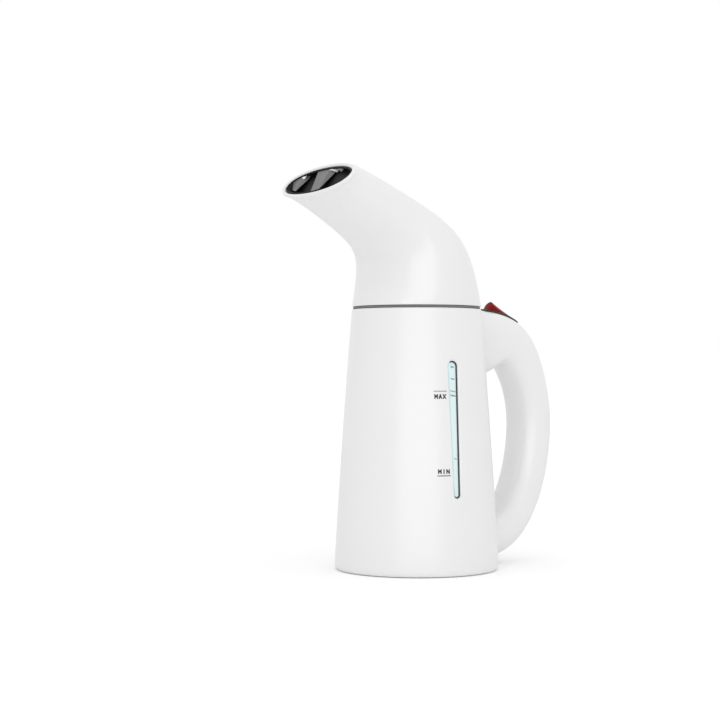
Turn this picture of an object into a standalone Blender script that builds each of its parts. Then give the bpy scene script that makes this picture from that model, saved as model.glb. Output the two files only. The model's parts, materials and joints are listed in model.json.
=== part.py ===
"""Handheld travel garment steamer: a tapered water jug with a goose-neck steam head.

The jug stands on rubber feet at z = 0. The steam head points to -X, the hollow handle to +X,
and the water window faces -Y. Lengths are in metres, angles in degrees, and +Z is up.
"""

import math

import bmesh
import bpy
import numpy as np
from mathutils import Matrix, Vector

PART_COLLECTION = "garment_steamer"
CUTTER_COLLECTION = "garment_steamer_cutters"

# Fits and mesh settings shared by all parts
GAP = 0.0003
OVERRUN = 0.002
MERGE_DISTANCE = 0.00001
SMOOTH_ANGLE = 35.0
TURN = 360.0
SPLINE_PROBE_SHARE = 0.001

# Jug casing: a cone with a slight belly, open at both ends
FOOT_PROUD = 0.0008
CASING_BOTTOM = FOOT_PROUD
CASING_TOP = 0.1470
CASING_BASE_RADIUS = 0.0466
CASING_TOP_RADIUS = 0.0372
CASING_BELLY = 0.0005
CASING_WALL = 0.0024
CASING_EDGE_ROUND = 0.0018
CASING_EDGE_ANGLES = (30.0, 60.0, 90.0)
CASING_SIDES = 48
CASING_STEPS = 4

# Seal between the jug and the steam head
SEAL_THICKNESS = 0.0010
SEAL_INSET = 0.0005

# Quick thread: helical lugs on the head's spigot turn in grooves of the neck collar
THREAD_LEAD = 0.060
THREAD_STARTS = 3
LUG_PROUD = 0.0016
LUG_HEIGHT = 0.0026
LUG_ANGLE = 15.0
LUG_BELOW_TOP = 0.0062
LUG_AZIMUTH = 30.0
LUG_STEPS = 4
GROOVE_STEPS = 12

# Neck collar inside the casing's mouth
COLLAR_WALL = 0.0039
COLLAR_HEIGHT = 0.0105
COLLAR_FLANGE_HEIGHT = 0.0018
COLLAR_SIDES = 40

# Spigot of the steam head, with the ledge that carries the steam baffle
SPIGOT_WALL = 0.0020
SPIGOT_DEPTH = 0.0108
SPIGOT_FLANGE_SETBACK = 0.0010
SPIGOT_FLANGE_HEIGHT = 0.0026
BAFFLE_LEDGE_WIDTH = 0.0024
BAFFLE_LEDGE_HEIGHT = 0.0014
BAFFLE_THICKNESS = 0.0014
BAFFLE_SLOT_COUNT = 6
BAFFLE_SLOT_WIDTH = 0.0030
BAFFLE_HUB_RADIUS = 0.0090
BAFFLE_RIM_WIDTH = 0.0060

# Goose-neck steam head: five stations of its spine, from the seam to the mouth
HEAD_SETBACK = 0.0009
HEAD_SPINE_REACH = 0.0670
HEAD_SPINE_RISE = 0.0677
HEAD_WAIST_SHARE = 0.8815
MOUTH_WIDTH_SHARE = 0.9504
MOUTH_HALF_DEPTH = 0.0124
MOUTH_TILT = 46.0
HEAD_TILTS = (0.0, 12.0, 35.0, 52.0, MOUTH_TILT)
HEAD_REACH_SHARES = (0.0, 0.081, 0.394, 0.842, 1.0)
HEAD_RISE_SHARES = (0.0, 0.455, 0.721, 0.942, 1.0)
HEAD_TAPER_SHARES = (0.0, 0.276, 0.695, 0.900, 1.0)
HEAD_BASE_WIDTH_SHARES = (1.0, 0.65, 0.0, 0.0, 0.0)
HEAD_MOUTH_WIDTH_SHARES = (0.0, 0.0, 0.0, 0.2, 1.0)
HEAD_WALL = 0.0024
HEAD_SECTION_POWER = 2.1
HEAD_SIDES = 36
HEAD_OUTER_STEPS = 13
HEAD_INNER_STEPS = 7
LIP_STEPS = 3

# Black vent cup in the mouth of the head, with vanes from brow to chin
VENT_WALL = 0.0012
VENT_FLOOR_SHARE = 0.80
VENT_CAVITY_SHARE = 0.84
VENT_RIM_SHARE = 0.985
VENT_STEPS = 3
VANE_COUNT = 3
VANE_SPACING = 0.0240
VANE_THICKNESS = 0.0014
VANE_RECESS = 0.0018
VENT_SLOT_LENGTH = 0.0120
VENT_SLOT_WIDTH = 0.0050

# Hollow handle: its centre line runs from the casing out to the grip and back
FINGER_GAP = 0.0290
HANDLE_TOP_DROP = 0.0108
HANDLE_FOOT_HEIGHT = 0.0140
HANDLE_REACH_SHARES = (-0.079, 0.27, 0.617, 0.866, 1.0, 0.943, 0.659, 0.352, -0.052)
GRIP_RISE_SHARE = 0.597
HANDLE_RISE_SHARES = (1.0, 0.992, 0.949, 0.808, GRIP_RISE_SHARE, 0.368, 0.143, 0.045, 0.0)
HANDLE_HALF_DEPTH = 0.0116
HANDLE_HALF_WIDTH = 0.0135
HANDLE_SECTION_POWER = 2.3
HANDLE_WALL = 0.0026
HANDLE_SIDES = 24
HANDLE_STEPS = 24
HANDLE_HOLLOW_SHARES = (0.085, 0.925)
HANDLE_HOLLOW_STEPS = 15
COVER_SHARES = (0.20, 0.88)
COVER_HALF_WIDTH = 0.0082
COVER_STEPS = 14

# Rocker switch on top of the handle. Its seat is on the handle's skin and slopes outward.
SWITCH_STANDOFF = 0.0213
SWITCH_DROP = 0.0022
SWITCH_SLOPE = 15.2
ROCKER_HALF_LENGTH = 0.0088
ROCKER_HALF_WIDTH = 0.0036
ROCKER_TOP = 0.0036
ROCKER_DISH = 0.0003
ROCKER_CROWN = 0.0024
ROCKER_BOTTOM = 0.0050
ROCKER_PIVOT_DEPTH = 0.0030
ROCKER_TILT = 14.8
ROCKER_EDGE_ROUND = 0.0005
ROCKER_CROWN_STEPS = 6
TRUNNION_RADIUS = 0.0011
TRUNNION_LENGTH = 0.0006
SWITCH_RUNNING_GAP = 0.0004
SWITCH_WALL = 0.0010
SWITCH_DEPTH = 0.0112
SWITCH_CAVITY_DEPTH = 0.0080
BEZEL_PROUD = 0.0002
TERMINAL_SPACING = 0.0070
TERMINAL_WIDTH = 0.0048
TERMINAL_THICKNESS = 0.0008
TERMINAL_LENGTH = 0.0030
TERMINAL_ROOT = 0.0012

# Water window: a tapered slot in the casing, lined by a dark seal, with a pane behind it
WINDOW_SWING = 5.0
WINDOW_BOTTOM = 0.0425
WINDOW_TOP_DROP = 0.0290
WINDOW_TOP_HALF_WIDTH = 0.0031
WINDOW_BOTTOM_HALF_WIDTH = 0.0021
WINDOW_CHAMFER = 0.0009
WINDOW_SEAL_WIDTH = 0.0007
WINDOW_SEAL_DEPTH = 0.0014
WINDOW_PANE_DEPTH = 0.0022
WINDOW_FLANGE = 0.0022
WINDOW_THICKNESS = 0.0010
WINDOW_ARC_STEPS = 6

# Inner water tank with a hole in its floor for the heater
TANK_GAP = 0.0024
TANK_WALL = 0.0016
TANK_FLOOR = 0.0240
TANK_FLOOR_THICKNESS = 0.0020
TANK_RIM_HEIGHT = 0.0015
TANK_STEPS = 4
TANK_SIDES = 36

# Heater under the tank
HEATER_BOSS_RADIUS = 0.0165
HEATER_BOSS_RISE = 0.0010
HEATER_PLATE_RADIUS = 0.0225
HEATER_PLATE_THICKNESS = 0.0030
HEATER_SEAL_WIDTH = 0.0040
HEATER_SEAL_THICKNESS = 0.0010
HEATER_SIDES = 24
ELEMENT_RING_RADIUS = 0.0125
ELEMENT_TUBE_RADIUS = 0.0022
ELEMENT_OPENING = 50.0
ELEMENT_LEG = 0.0050
ELEMENT_STEPS = 16
THERMOSTAT_RADIUS = 0.0078
THERMOSTAT_HEIGHT = 0.0042
THERMOSTAT_CAP_RADIUS = 0.0052
THERMOSTAT_CAP_HEIGHT = 0.0022
FUSE_RADIUS = 0.0018
FUSE_LENGTH = 0.0100
FUSE_MARGIN = 0.0020

# Steam chamber over the heater, and the steam tube that stands in its socket
CHAMBER_RADIUS = 0.0190
CHAMBER_FLANGE_WIDTH = 0.0040
CHAMBER_FLANGE_THICKNESS = 0.0016
CHAMBER_HEIGHT = 0.0160
CHAMBER_CONE_HEIGHT = 0.0110
CHAMBER_WALL = 0.0014
SOCKET_HEIGHT = 0.0060
INLET_COUNT = 4
INLET_AZIMUTH = 45.0
INLET_RADIUS = 0.0024
INLET_RISE = 0.0060
STEAM_TUBE_RADIUS = 0.0096
STEAM_TUBE_DROP = 0.0250
STEAM_OUTLET_RADIUS = 0.0055

# Base plate, its screws and its feet
BASE_PLATE_THICKNESS = 0.0026
BOSS_RADIUS = 0.0046
BOSS_BITE = 0.0004
BOSS_COUNT = 4
BOSS_AZIMUTH = 60.0
HEATER_POST_RADIUS = 0.0026
HEATER_POST_COUNT = 3
HEATER_POST_MARGIN = 0.0004
FOOT_RADIUS = 0.0050
FOOT_SUNK = 0.0010
FOOT_MARGIN = 0.0054
FOOT_COUNT = 4
SCREW_SHANK_RADIUS = 0.0014
SCREW_HEAD_RADIUS = 0.0026
SCREW_HEAD_HEIGHT = 0.0013
SCREW_CROWN_RADIUS = 0.0018
SCREW_CROWN_HEIGHT = 0.0005
SCREW_SIDES = 12
BASE_SCREW_LENGTH = 0.0090
HANDLE_SCREW_LENGTH = 0.0080
UPPER_SCREW_DROP = 0.0052
LOWER_SCREW_RISE = 0.0030

# Rubber grommet where a mains lead would enter, low on the far side
GLAND_AZIMUTH = 30.0
GLAND_HEIGHT = 0.0140
GLAND_BORE = 0.0028
GLAND_NECK_RADIUS = 0.0042
GLAND_FLANGE_RADIUS = 0.0060
GLAND_FLANGE_THICKNESS = 0.0016
GLAND_TAIL = 0.0040
GLAND_TAIL_RADIUS = 0.0044
ROUND_SIDES = 20

# Base colour, roughness and metallic value of each material
MATERIALS = {
    "white_shell": ((0.86, 0.86, 0.86, 1.0), 0.35, 0.0),
    "clear_window": ((0.80, 0.92, 0.93, 1.0), 0.10, 0.0),
    "tank_plastic": ((0.78, 0.87, 0.88, 1.0), 0.30, 0.0),
    "black_plastic": ((0.02, 0.02, 0.02, 1.0), 0.22, 0.0),
    "red_plastic": ((0.32, 0.01, 0.01, 1.0), 0.18, 0.0),
    "grey_rubber": ((0.10, 0.10, 0.11, 1.0), 0.70, 0.0),
    "cast_aluminium": ((0.60, 0.61, 0.62, 1.0), 0.45, 1.0),
    "steel": ((0.55, 0.55, 0.56, 1.0), 0.30, 1.0),
    "brass": ((0.70, 0.52, 0.22, 1.0), 0.35, 1.0),
}


def casing_radius(height):
    """Outer radius of the casing at a height over the table."""
    share = (height - CASING_BOTTOM) / (CASING_TOP - CASING_BOTTOM)
    straight = CASING_BASE_RADIUS + (CASING_TOP_RADIUS - CASING_BASE_RADIUS) * share
    return straight + CASING_BELLY * 4.0 * share * (1.0 - share)


def casing_bore(height):
    """Inner radius of the casing at a height over the table."""
    return casing_radius(height) - CASING_WALL


def casing_slope(low, high):
    """Lean of the casing's side between two heights, in degrees."""
    return math.degrees(math.atan((casing_radius(low) - casing_radius(high)) / (high - low)))


# Heights that follow the casing's top
HANDLE_TOP_HEIGHT = CASING_TOP - HANDLE_TOP_DROP
STEAM_TUBE_TOP = CASING_TOP - STEAM_TUBE_DROP
WINDOW_TOP = CASING_TOP - WINDOW_TOP_DROP

# Seam between jug and head, and the widths of the head that follow its base
SEAL_BOTTOM = CASING_TOP + GAP
HEAD_BOTTOM = SEAL_BOTTOM + SEAL_THICKNESS + GAP
HEAD_BASE_RADIUS = CASING_TOP_RADIUS - HEAD_SETBACK
HEAD_WAIST_HALF_WIDTH = HEAD_BASE_RADIUS * HEAD_WAIST_SHARE
MOUTH_HALF_WIDTH = HEAD_BASE_RADIUS * MOUTH_WIDTH_SHARE

# Neck: everything follows the casing's bore at its top
COLLAR_BOTTOM = CASING_TOP - COLLAR_HEIGHT
COLLAR_BORE = casing_bore(CASING_TOP) - GAP - COLLAR_WALL
SPIGOT_RADIUS = COLLAR_BORE - GAP
SPIGOT_BOTTOM = HEAD_BOTTOM - SPIGOT_DEPTH
THREAD_RADIUS = SPIGOT_RADIUS + LUG_PROUD
LUG_MIDDLE = CASING_TOP - LUG_BELOW_TOP

# Base: screws and feet follow the casing's bore at its bottom
BASE_PLATE_RADIUS = casing_bore(CASING_BOTTOM) - GAP
BOSS_CIRCLE = casing_bore(CASING_BOTTOM) - BOSS_RADIUS + BOSS_BITE
BOSS_BOTTOM = CASING_BOTTOM + BASE_PLATE_THICKNESS + GAP
FOOT_CIRCLE = BASE_PLATE_RADIUS - FOOT_RADIUS - FOOT_MARGIN
HEATER_POST_CIRCLE = HEATER_PLATE_RADIUS - HEATER_POST_RADIUS - HEATER_POST_MARGIN
FUSE_CIRCLE = HEATER_PLATE_RADIUS - FUSE_RADIUS - FUSE_MARGIN
HEATER_PLATE_TOP = TANK_FLOOR - GAP - HEATER_SEAL_THICKNESS - GAP
HEATER_PLATE_BOTTOM = HEATER_PLATE_TOP - HEATER_PLATE_THICKNESS
CHAMBER_FOOT = TANK_FLOOR + TANK_FLOOR_THICKNESS + GAP

# Switch: the rocker's top corners swing about its pivot, inside the housing's cavity
ROCKER_SWING_RADIUS = math.hypot(ROCKER_HALF_LENGTH, ROCKER_TOP + ROCKER_PIVOT_DEPTH)
CAVITY_HALF_LENGTH = ROCKER_SWING_RADIUS + SWITCH_RUNNING_GAP
CAVITY_HALF_WIDTH = ROCKER_HALF_WIDTH + SWITCH_RUNNING_GAP
SWITCH_X = CASING_TOP_RADIUS + SWITCH_STANDOFF
SWITCH_Z = HANDLE_TOP_HEIGHT + HANDLE_HALF_DEPTH - SWITCH_DROP

# The origin is under the middle of the overall length, so the jug's axis stands off it
GRIP_HEIGHT = HANDLE_FOOT_HEIGHT + (HANDLE_TOP_HEIGHT - HANDLE_FOOT_HEIGHT) * GRIP_RISE_SHARE
GRIP_REACH = casing_radius(GRIP_HEIGHT) + FINGER_GAP + HANDLE_HALF_DEPTH
HEAD_REACH = HEAD_SPINE_REACH + MOUTH_HALF_DEPTH * math.cos(math.radians(MOUTH_TILT))
AXIS_X = (HEAD_REACH - GRIP_REACH - HANDLE_HALF_DEPTH) / 2.0


def clear_scene():
    """Remove every object that the scene starts with."""
    for item in list(bpy.data.objects):
        bpy.data.objects.remove(item, do_unlink=True)


def make_collection(name):
    """Link a new collection to the scene."""
    bpy.context.scene.collection.children.link(bpy.data.collections.new(name))


def make_material(name):
    """The Principled material of that name, made on its first use."""
    if name in bpy.data.materials:
        return bpy.data.materials[name]
    colour, roughness, metallic = MATERIALS[name]
    material = bpy.data.materials.new(name)
    material.use_nodes = True
    shader = material.node_tree.nodes["Principled BSDF"]
    shader.inputs["Base Color"].default_value = colour
    shader.inputs["Roughness"].default_value = roughness
    shader.inputs["Metallic"].default_value = metallic
    material.diffuse_color = colour
    return material


def place(item, parent=None, location=(0.0, 0.0, 0.0), rotation=(0.0, 0.0, 0.0)):
    """Stand an object on its parent, with its rotation in degrees."""
    item.parent = parent
    item.location = location
    item.rotation_euler = [math.radians(angle) for angle in rotation]
    return item


def make_empty(name, parent=None, location=(0.0, 0.0, 0.0), rotation=(0.0, 0.0, 0.0)):
    """An empty that carries the pieces of one seat."""
    item = bpy.data.objects.new(name, None)
    bpy.data.collections[PART_COLLECTION].objects.link(item)
    return place(item, parent, location, rotation)


def as_part(item, material_name, parent, location=(0.0, 0.0, 0.0), rotation=(0.0, 0.0, 0.0)):
    """Make an object one of the steamer's parts."""
    bpy.data.collections[PART_COLLECTION].objects.link(item)
    item.data.materials.append(make_material(material_name))
    return place(item, parent, location, rotation)


def as_cutter(item, parent, location=(0.0, 0.0, 0.0), rotation=(0.0, 0.0, 0.0)):
    """Make an object a tool of the Boolean modifiers, left out of renders."""
    bpy.data.collections[CUTTER_COLLECTION].objects.link(item)
    item.hide_render = True
    item.display_type = "WIRE"
    return place(item, parent, location, rotation)


def combine(item, tool, operation="DIFFERENCE"):
    """Cut, join or intersect an object with a tool."""
    modifier = item.modifiers.new(tool.name, "BOOLEAN")
    modifier.operation = operation
    modifier.solver = "EXACT"
    modifier.object = tool
    return item


def mesh_object(name, fill_mesh):
    """An object whose mesh the given function fills in."""
    mesh = bpy.data.meshes.new(name)
    shape = bmesh.new()
    fill_mesh(shape)
    bmesh.ops.recalc_face_normals(shape, faces=shape.faces)
    shape.to_mesh(mesh)
    shape.free()
    return bpy.data.objects.new(name, mesh)


def turned(name, profile, sides, closed=True):
    """A turned shape about Z. The profile of (radius, height) runs down its outer side first."""
    mesh = bpy.data.meshes.new(name)
    points = [(radius, 0.0, height) for radius, height in profile]
    edges = [(index, index + 1) for index in range(len(points) - 1)]
    if closed:
        edges.append((len(points) - 1, 0))
    mesh.from_pydata(points, edges, [])
    item = bpy.data.objects.new(name, mesh)
    screw = item.modifiers.new("Turn", "SCREW")
    screw.axis = "Z"
    screw.angle = math.radians(TURN)
    screw.steps = sides
    screw.render_steps = sides
    screw.use_merge_vertices = True
    screw.merge_threshold = MERGE_DISTANCE
    screw.use_smooth_shade = True
    return item


def add_loft(shape, rings, closed=False):
    """Faces between rings of equally many points, with end caps unless the rings close."""
    rows = [[shape.verts.new(point) for point in ring] for ring in rings]
    pairs = list(zip(rows[:-1], rows[1:]))
    if closed:
        pairs.append((rows[-1], rows[0]))
    for low, high in pairs:
        for index in range(len(low)):
            following = (index + 1) % len(low)
            shape.faces.new((low[index], low[following], high[following], high[index]))
    if not closed:
        shape.faces.new(rows[0])
        shape.faces.new(rows[-1])


def loft(name, rings, closed=False):
    """An object lofted through rings of points."""
    return mesh_object(name, lambda shape: add_loft(shape, rings, closed))


def block(name, low, high):
    """A box between two corners."""
    size = Vector(high) - Vector(low)
    middle = Matrix.Translation((Vector(high) + Vector(low)) / 2.0)
    matrix = middle @ Matrix.Diagonal((*size, 1.0))
    return mesh_object(name, lambda shape: bmesh.ops.create_cube(shape, size=1.0, matrix=matrix))


def rod(name, radius, bottom, top, sides=SCREW_SIDES):
    """A cylinder along Z."""
    middle = Matrix.Translation((0.0, 0.0, (top + bottom) / 2.0))

    def fill_mesh(shape):
        bmesh.ops.create_cone(
            shape,
            cap_ends=True,
            segments=sides,
            radius1=radius,
            radius2=radius,
            depth=top - bottom,
            matrix=middle,
        )

    return mesh_object(name, fill_mesh)


def round_edges(item, width, segments=2):
    """Round the edges that are sharper than the smoothing angle."""
    bevel = item.modifiers.new("Round", "BEVEL")
    bevel.width = width
    bevel.segments = segments
    bevel.limit_method = "ANGLE"
    bevel.angle_limit = math.radians(SMOOTH_ANGLE)
    return item


def smooth_curve(knots, rows, samples):
    """A natural cubic curve through rows of values at the knots, read at each sample."""
    knots = np.asarray(knots, dtype=float)
    rows = np.asarray(rows, dtype=float)
    steps = np.diff(knots)
    slopes = np.diff(rows, axis=0) / steps[:, None]
    count = len(knots)
    system = np.eye(count)
    changes = np.zeros_like(rows)
    for index in range(1, count - 1):
        before, after = steps[index - 1], steps[index]
        system[index, index - 1 : index + 2] = (before, 2.0 * (before + after), after)
        changes[index] = 6.0 * (slopes[index] - slopes[index - 1])
    bends = np.linalg.solve(system, changes)
    values = []
    for sample in samples:
        index = min(max(int(np.searchsorted(knots, sample)) - 1, 0), count - 2)
        step = steps[index]
        left = (knots[index + 1] - sample) / step
        right = 1.0 - left
        bend = (left**3 - left) * bends[index] + (right**3 - right) * bends[index + 1]
        values.append(left * rows[index] + right * rows[index + 1] + bend * step**2 / 6.0)
    return np.array(values)


def spaced(start, end, steps):
    """Evenly spaced values from start to end, both included."""
    return [start + (end - start) * index / steps for index in range(steps + 1)]


def azimuths(count, first=0.0):
    """Evenly spaced angles in degrees round the axis."""
    return [first + TURN * index / count for index in range(count)]


def on_circle(radius, azimuth, height=0.0):
    """A point at a radius and an azimuth in degrees."""
    angle = math.radians(azimuth)
    return (radius * math.cos(angle), radius * math.sin(angle), height)


def signed_power(value, power):
    """A power that keeps the sign of its base."""
    return math.copysign(abs(value) ** power, value)


def oval(half_depth, half_width, power, sides):
    """Points of a superellipse: (along the depth, along the width)."""
    points = []
    for index in range(sides):
        angle = 2.0 * math.pi * index / sides
        along = half_depth * signed_power(math.sin(angle), 2.0 / power)
        across = half_width * signed_power(math.cos(angle), 2.0 / power)
        points.append((along, across))
    return points


def make_screw(name, parent, length, location, rotation=(0.0, 0.0, 0.0)):
    """A pan head screw: the head stands on z = 0 and the shank points down."""
    profile = [
        (0.0, SCREW_HEAD_HEIGHT),
        (SCREW_CROWN_RADIUS, SCREW_HEAD_HEIGHT),
        (SCREW_HEAD_RADIUS, SCREW_HEAD_HEIGHT - SCREW_CROWN_HEIGHT),
        (SCREW_HEAD_RADIUS, 0.0),
        (SCREW_SHANK_RADIUS, 0.0),
        (SCREW_SHANK_RADIUS, SCREW_SHANK_RADIUS - length),
        (0.0, -length),
    ]
    item = turned(name, profile, SCREW_SIDES, closed=False)
    as_part(item, "steel", parent, location, rotation)


def make_casing(axis):
    """The white tapered shell of the jug, with its screw bosses."""
    round_top = CASING_BOTTOM + CASING_EDGE_ROUND
    profile = [(casing_radius(height), height) for height in spaced(CASING_TOP, round_top, CASING_STEPS)]
    for angle in CASING_EDGE_ANGLES:
        turn = math.radians(angle)
        radius = casing_radius(round_top) - CASING_EDGE_ROUND * (1.0 - math.cos(turn))
        profile.append((radius, round_top - CASING_EDGE_ROUND * math.sin(turn)))
    for height in spaced(CASING_BOTTOM, CASING_TOP, CASING_STEPS // 2):
        profile.append((casing_bore(height), height))
    casing = as_part(turned("casing", profile, CASING_SIDES), "white_shell", axis)
    bore_radius = SCREW_SHANK_RADIUS + GAP
    bore_top = BOSS_BOTTOM + BASE_SCREW_LENGTH
    for number, azimuth in enumerate(azimuths(BOSS_COUNT, BOSS_AZIMUTH), 1):
        spot = on_circle(BOSS_CIRCLE, azimuth)
        boss = rod(f"boss_{number}", BOSS_RADIUS, BOSS_BOTTOM, TANK_FLOOR - GAP)
        combine(casing, as_cutter(boss, axis, spot), "UNION")
        bore = rod(f"boss_bore_{number}", bore_radius, BOSS_BOTTOM - OVERRUN, bore_top)
        combine(casing, as_cutter(bore, axis, spot))
    return casing


def make_base_plate(axis):
    """The base plate, with posts that carry the heater."""
    plate_top = CASING_BOTTOM + BASE_PLATE_THICKNESS
    profile = [
        (0.0, plate_top),
        (BASE_PLATE_RADIUS, plate_top),
        (BASE_PLATE_RADIUS, CASING_BOTTOM),
        (0.0, CASING_BOTTOM),
    ]
    plate = turned("base_plate", profile, CASING_SIDES, closed=False)
    as_part(plate, "white_shell", axis)
    for number, azimuth in enumerate(azimuths(HEATER_POST_COUNT), 1):
        post = rod(
            f"heater_post_{number}",
            HEATER_POST_RADIUS,
            CASING_BOTTOM + GAP,
            HEATER_PLATE_BOTTOM - GAP,
        )
        combine(plate, as_cutter(post, axis, on_circle(HEATER_POST_CIRCLE, azimuth)), "UNION")
    return plate


def make_base_screws(axis, plate):
    """The screws that hold the base plate to the casing's bosses, with their heads sunk."""
    plate_top = CASING_BOTTOM + BASE_PLATE_THICKNESS
    head_seat = CASING_BOTTOM + SCREW_HEAD_HEIGHT
    shank = SCREW_SHANK_RADIUS + GAP
    head = SCREW_HEAD_RADIUS + GAP
    profile = [
        (0.0, plate_top + OVERRUN),
        (shank, plate_top + OVERRUN),
        (shank, head_seat + GAP),
        (head, head_seat + GAP),
        (head, CASING_BOTTOM - OVERRUN),
        (0.0, CASING_BOTTOM - OVERRUN),
    ]
    for number, azimuth in enumerate(azimuths(BOSS_COUNT, BOSS_AZIMUTH), 1):
        recess = turned(f"base_screw_recess_{number}", profile, SCREW_SIDES, closed=False)
        combine(plate, as_cutter(recess, axis, on_circle(BOSS_CIRCLE, azimuth)))
        spot = on_circle(BOSS_CIRCLE, azimuth, head_seat)
        make_screw(f"base_screw_{number}", axis, BASE_SCREW_LENGTH, spot, (180.0, 0.0, 0.0))


def make_feet(axis, plate):
    """Rubber feet, sunk in recesses of the base plate."""
    foot_top = CASING_BOTTOM + FOOT_SUNK
    recess_radius = FOOT_RADIUS + GAP
    for number, azimuth in enumerate(azimuths(FOOT_COUNT), 1):
        spot = on_circle(FOOT_CIRCLE, azimuth)
        recess = rod(
            f"foot_recess_{number}",
            recess_radius,
            CASING_BOTTOM - OVERRUN,
            foot_top + GAP,
            ROUND_SIDES,
        )
        combine(plate, as_cutter(recess, axis, spot))
        foot = rod(f"foot_{number}", FOOT_RADIUS, CASING_BOTTOM - FOOT_PROUD, foot_top, ROUND_SIDES)
        as_part(foot, "grey_rubber", axis, spot)


def tank_radius(height):
    """Outer radius of the inner tank at a height over the table."""
    return casing_bore(height) - TANK_GAP


def make_tank(axis):
    """The water tank, centred in the casing by the flange round its rim."""
    top = COLLAR_BOTTOM - GAP
    neck = top - TANK_RIM_HEIGHT
    floor_top = TANK_FLOOR + TANK_FLOOR_THICKNESS
    hole = HEATER_BOSS_RADIUS + GAP
    profile = [(casing_bore(top) - GAP, top), (casing_bore(top) - GAP, neck)]
    profile += [(tank_radius(height), height) for height in spaced(neck, TANK_FLOOR, TANK_STEPS)]
    profile += [(hole, TANK_FLOOR), (hole, floor_top)]
    for height in spaced(floor_top, top, TANK_STEPS // 2):
        profile.append((tank_radius(height) - TANK_WALL, height))
    as_part(turned("inner_tank", profile, TANK_SIDES), "tank_plastic", axis)


def make_heater(axis):
    """The cast heater plate under the tank, its boss through the floor, and its seal."""
    boss_top = TANK_FLOOR + TANK_FLOOR_THICKNESS + HEATER_BOSS_RISE
    profile = [
        (0.0, boss_top),
        (HEATER_BOSS_RADIUS, boss_top),
        (HEATER_BOSS_RADIUS, HEATER_PLATE_TOP),
        (HEATER_PLATE_RADIUS, HEATER_PLATE_TOP),
        (HEATER_PLATE_RADIUS, HEATER_PLATE_BOTTOM),
        (0.0, HEATER_PLATE_BOTTOM),
    ]
    plate = turned("heater_plate", profile, HEATER_SIDES, closed=False)
    as_part(plate, "cast_aluminium", axis)
    seal_top = TANK_FLOOR - GAP
    seal_bottom = seal_top - HEATER_SEAL_THICKNESS
    inner = HEATER_BOSS_RADIUS + GAP
    outer = inner + HEATER_SEAL_WIDTH
    profile = [(outer, seal_top), (outer, seal_bottom), (inner, seal_bottom), (inner, seal_top)]
    as_part(turned("heater_seal", profile, HEATER_SIDES), "grey_rubber", axis)


def make_heating_element(axis):
    """An open ring of sheathed tube whose two ends turn down to their terminals."""
    height = HEATER_PLATE_BOTTOM - GAP - ELEMENT_TUBE_RADIUS
    first = ELEMENT_OPENING / 2.0
    angles = spaced(first, TURN - first, ELEMENT_STEPS)
    low = height - ELEMENT_LEG
    route = [on_circle(ELEMENT_RING_RADIUS, angles[0], low)]
    route += [on_circle(ELEMENT_RING_RADIUS, angle, height) for angle in angles]
    route += [on_circle(ELEMENT_RING_RADIUS, angles[-1], low)]
    curve = bpy.data.curves.new("heating_element", "CURVE")
    curve.dimensions = "3D"
    curve.bevel_depth = ELEMENT_TUBE_RADIUS
    curve.bevel_resolution = 1
    curve.use_fill_caps = True
    spline = curve.splines.new("POLY")
    spline.points.add(len(route) - 1)
    for point, spot in zip(spline.points, route):
        point.co = (*spot, 1.0)
    as_part(bpy.data.objects.new("heating_element", curve), "steel", axis)


def make_heat_controls(axis):
    """The round thermostat under the heater plate's middle, and the fuse beside it."""
    top = HEATER_PLATE_BOTTOM - GAP
    shoulder = top - THERMOSTAT_HEIGHT
    bottom = shoulder - THERMOSTAT_CAP_HEIGHT
    profile = [
        (0.0, top),
        (THERMOSTAT_RADIUS, top),
        (THERMOSTAT_RADIUS, shoulder),
        (THERMOSTAT_CAP_RADIUS, shoulder),
        (THERMOSTAT_CAP_RADIUS, bottom),
        (0.0, bottom),
    ]
    as_part(turned("thermostat", profile, ROUND_SIDES, closed=False), "steel", axis)
    fuse = rod("thermal_fuse", FUSE_RADIUS, -FUSE_LENGTH / 2.0, FUSE_LENGTH / 2.0)
    azimuth = TURN / HEATER_POST_COUNT / 2.0
    spot = on_circle(FUSE_CIRCLE, azimuth, top - FUSE_RADIUS)
    as_part(fuse, "steel", axis, spot, (90.0, 0.0, azimuth))


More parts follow.
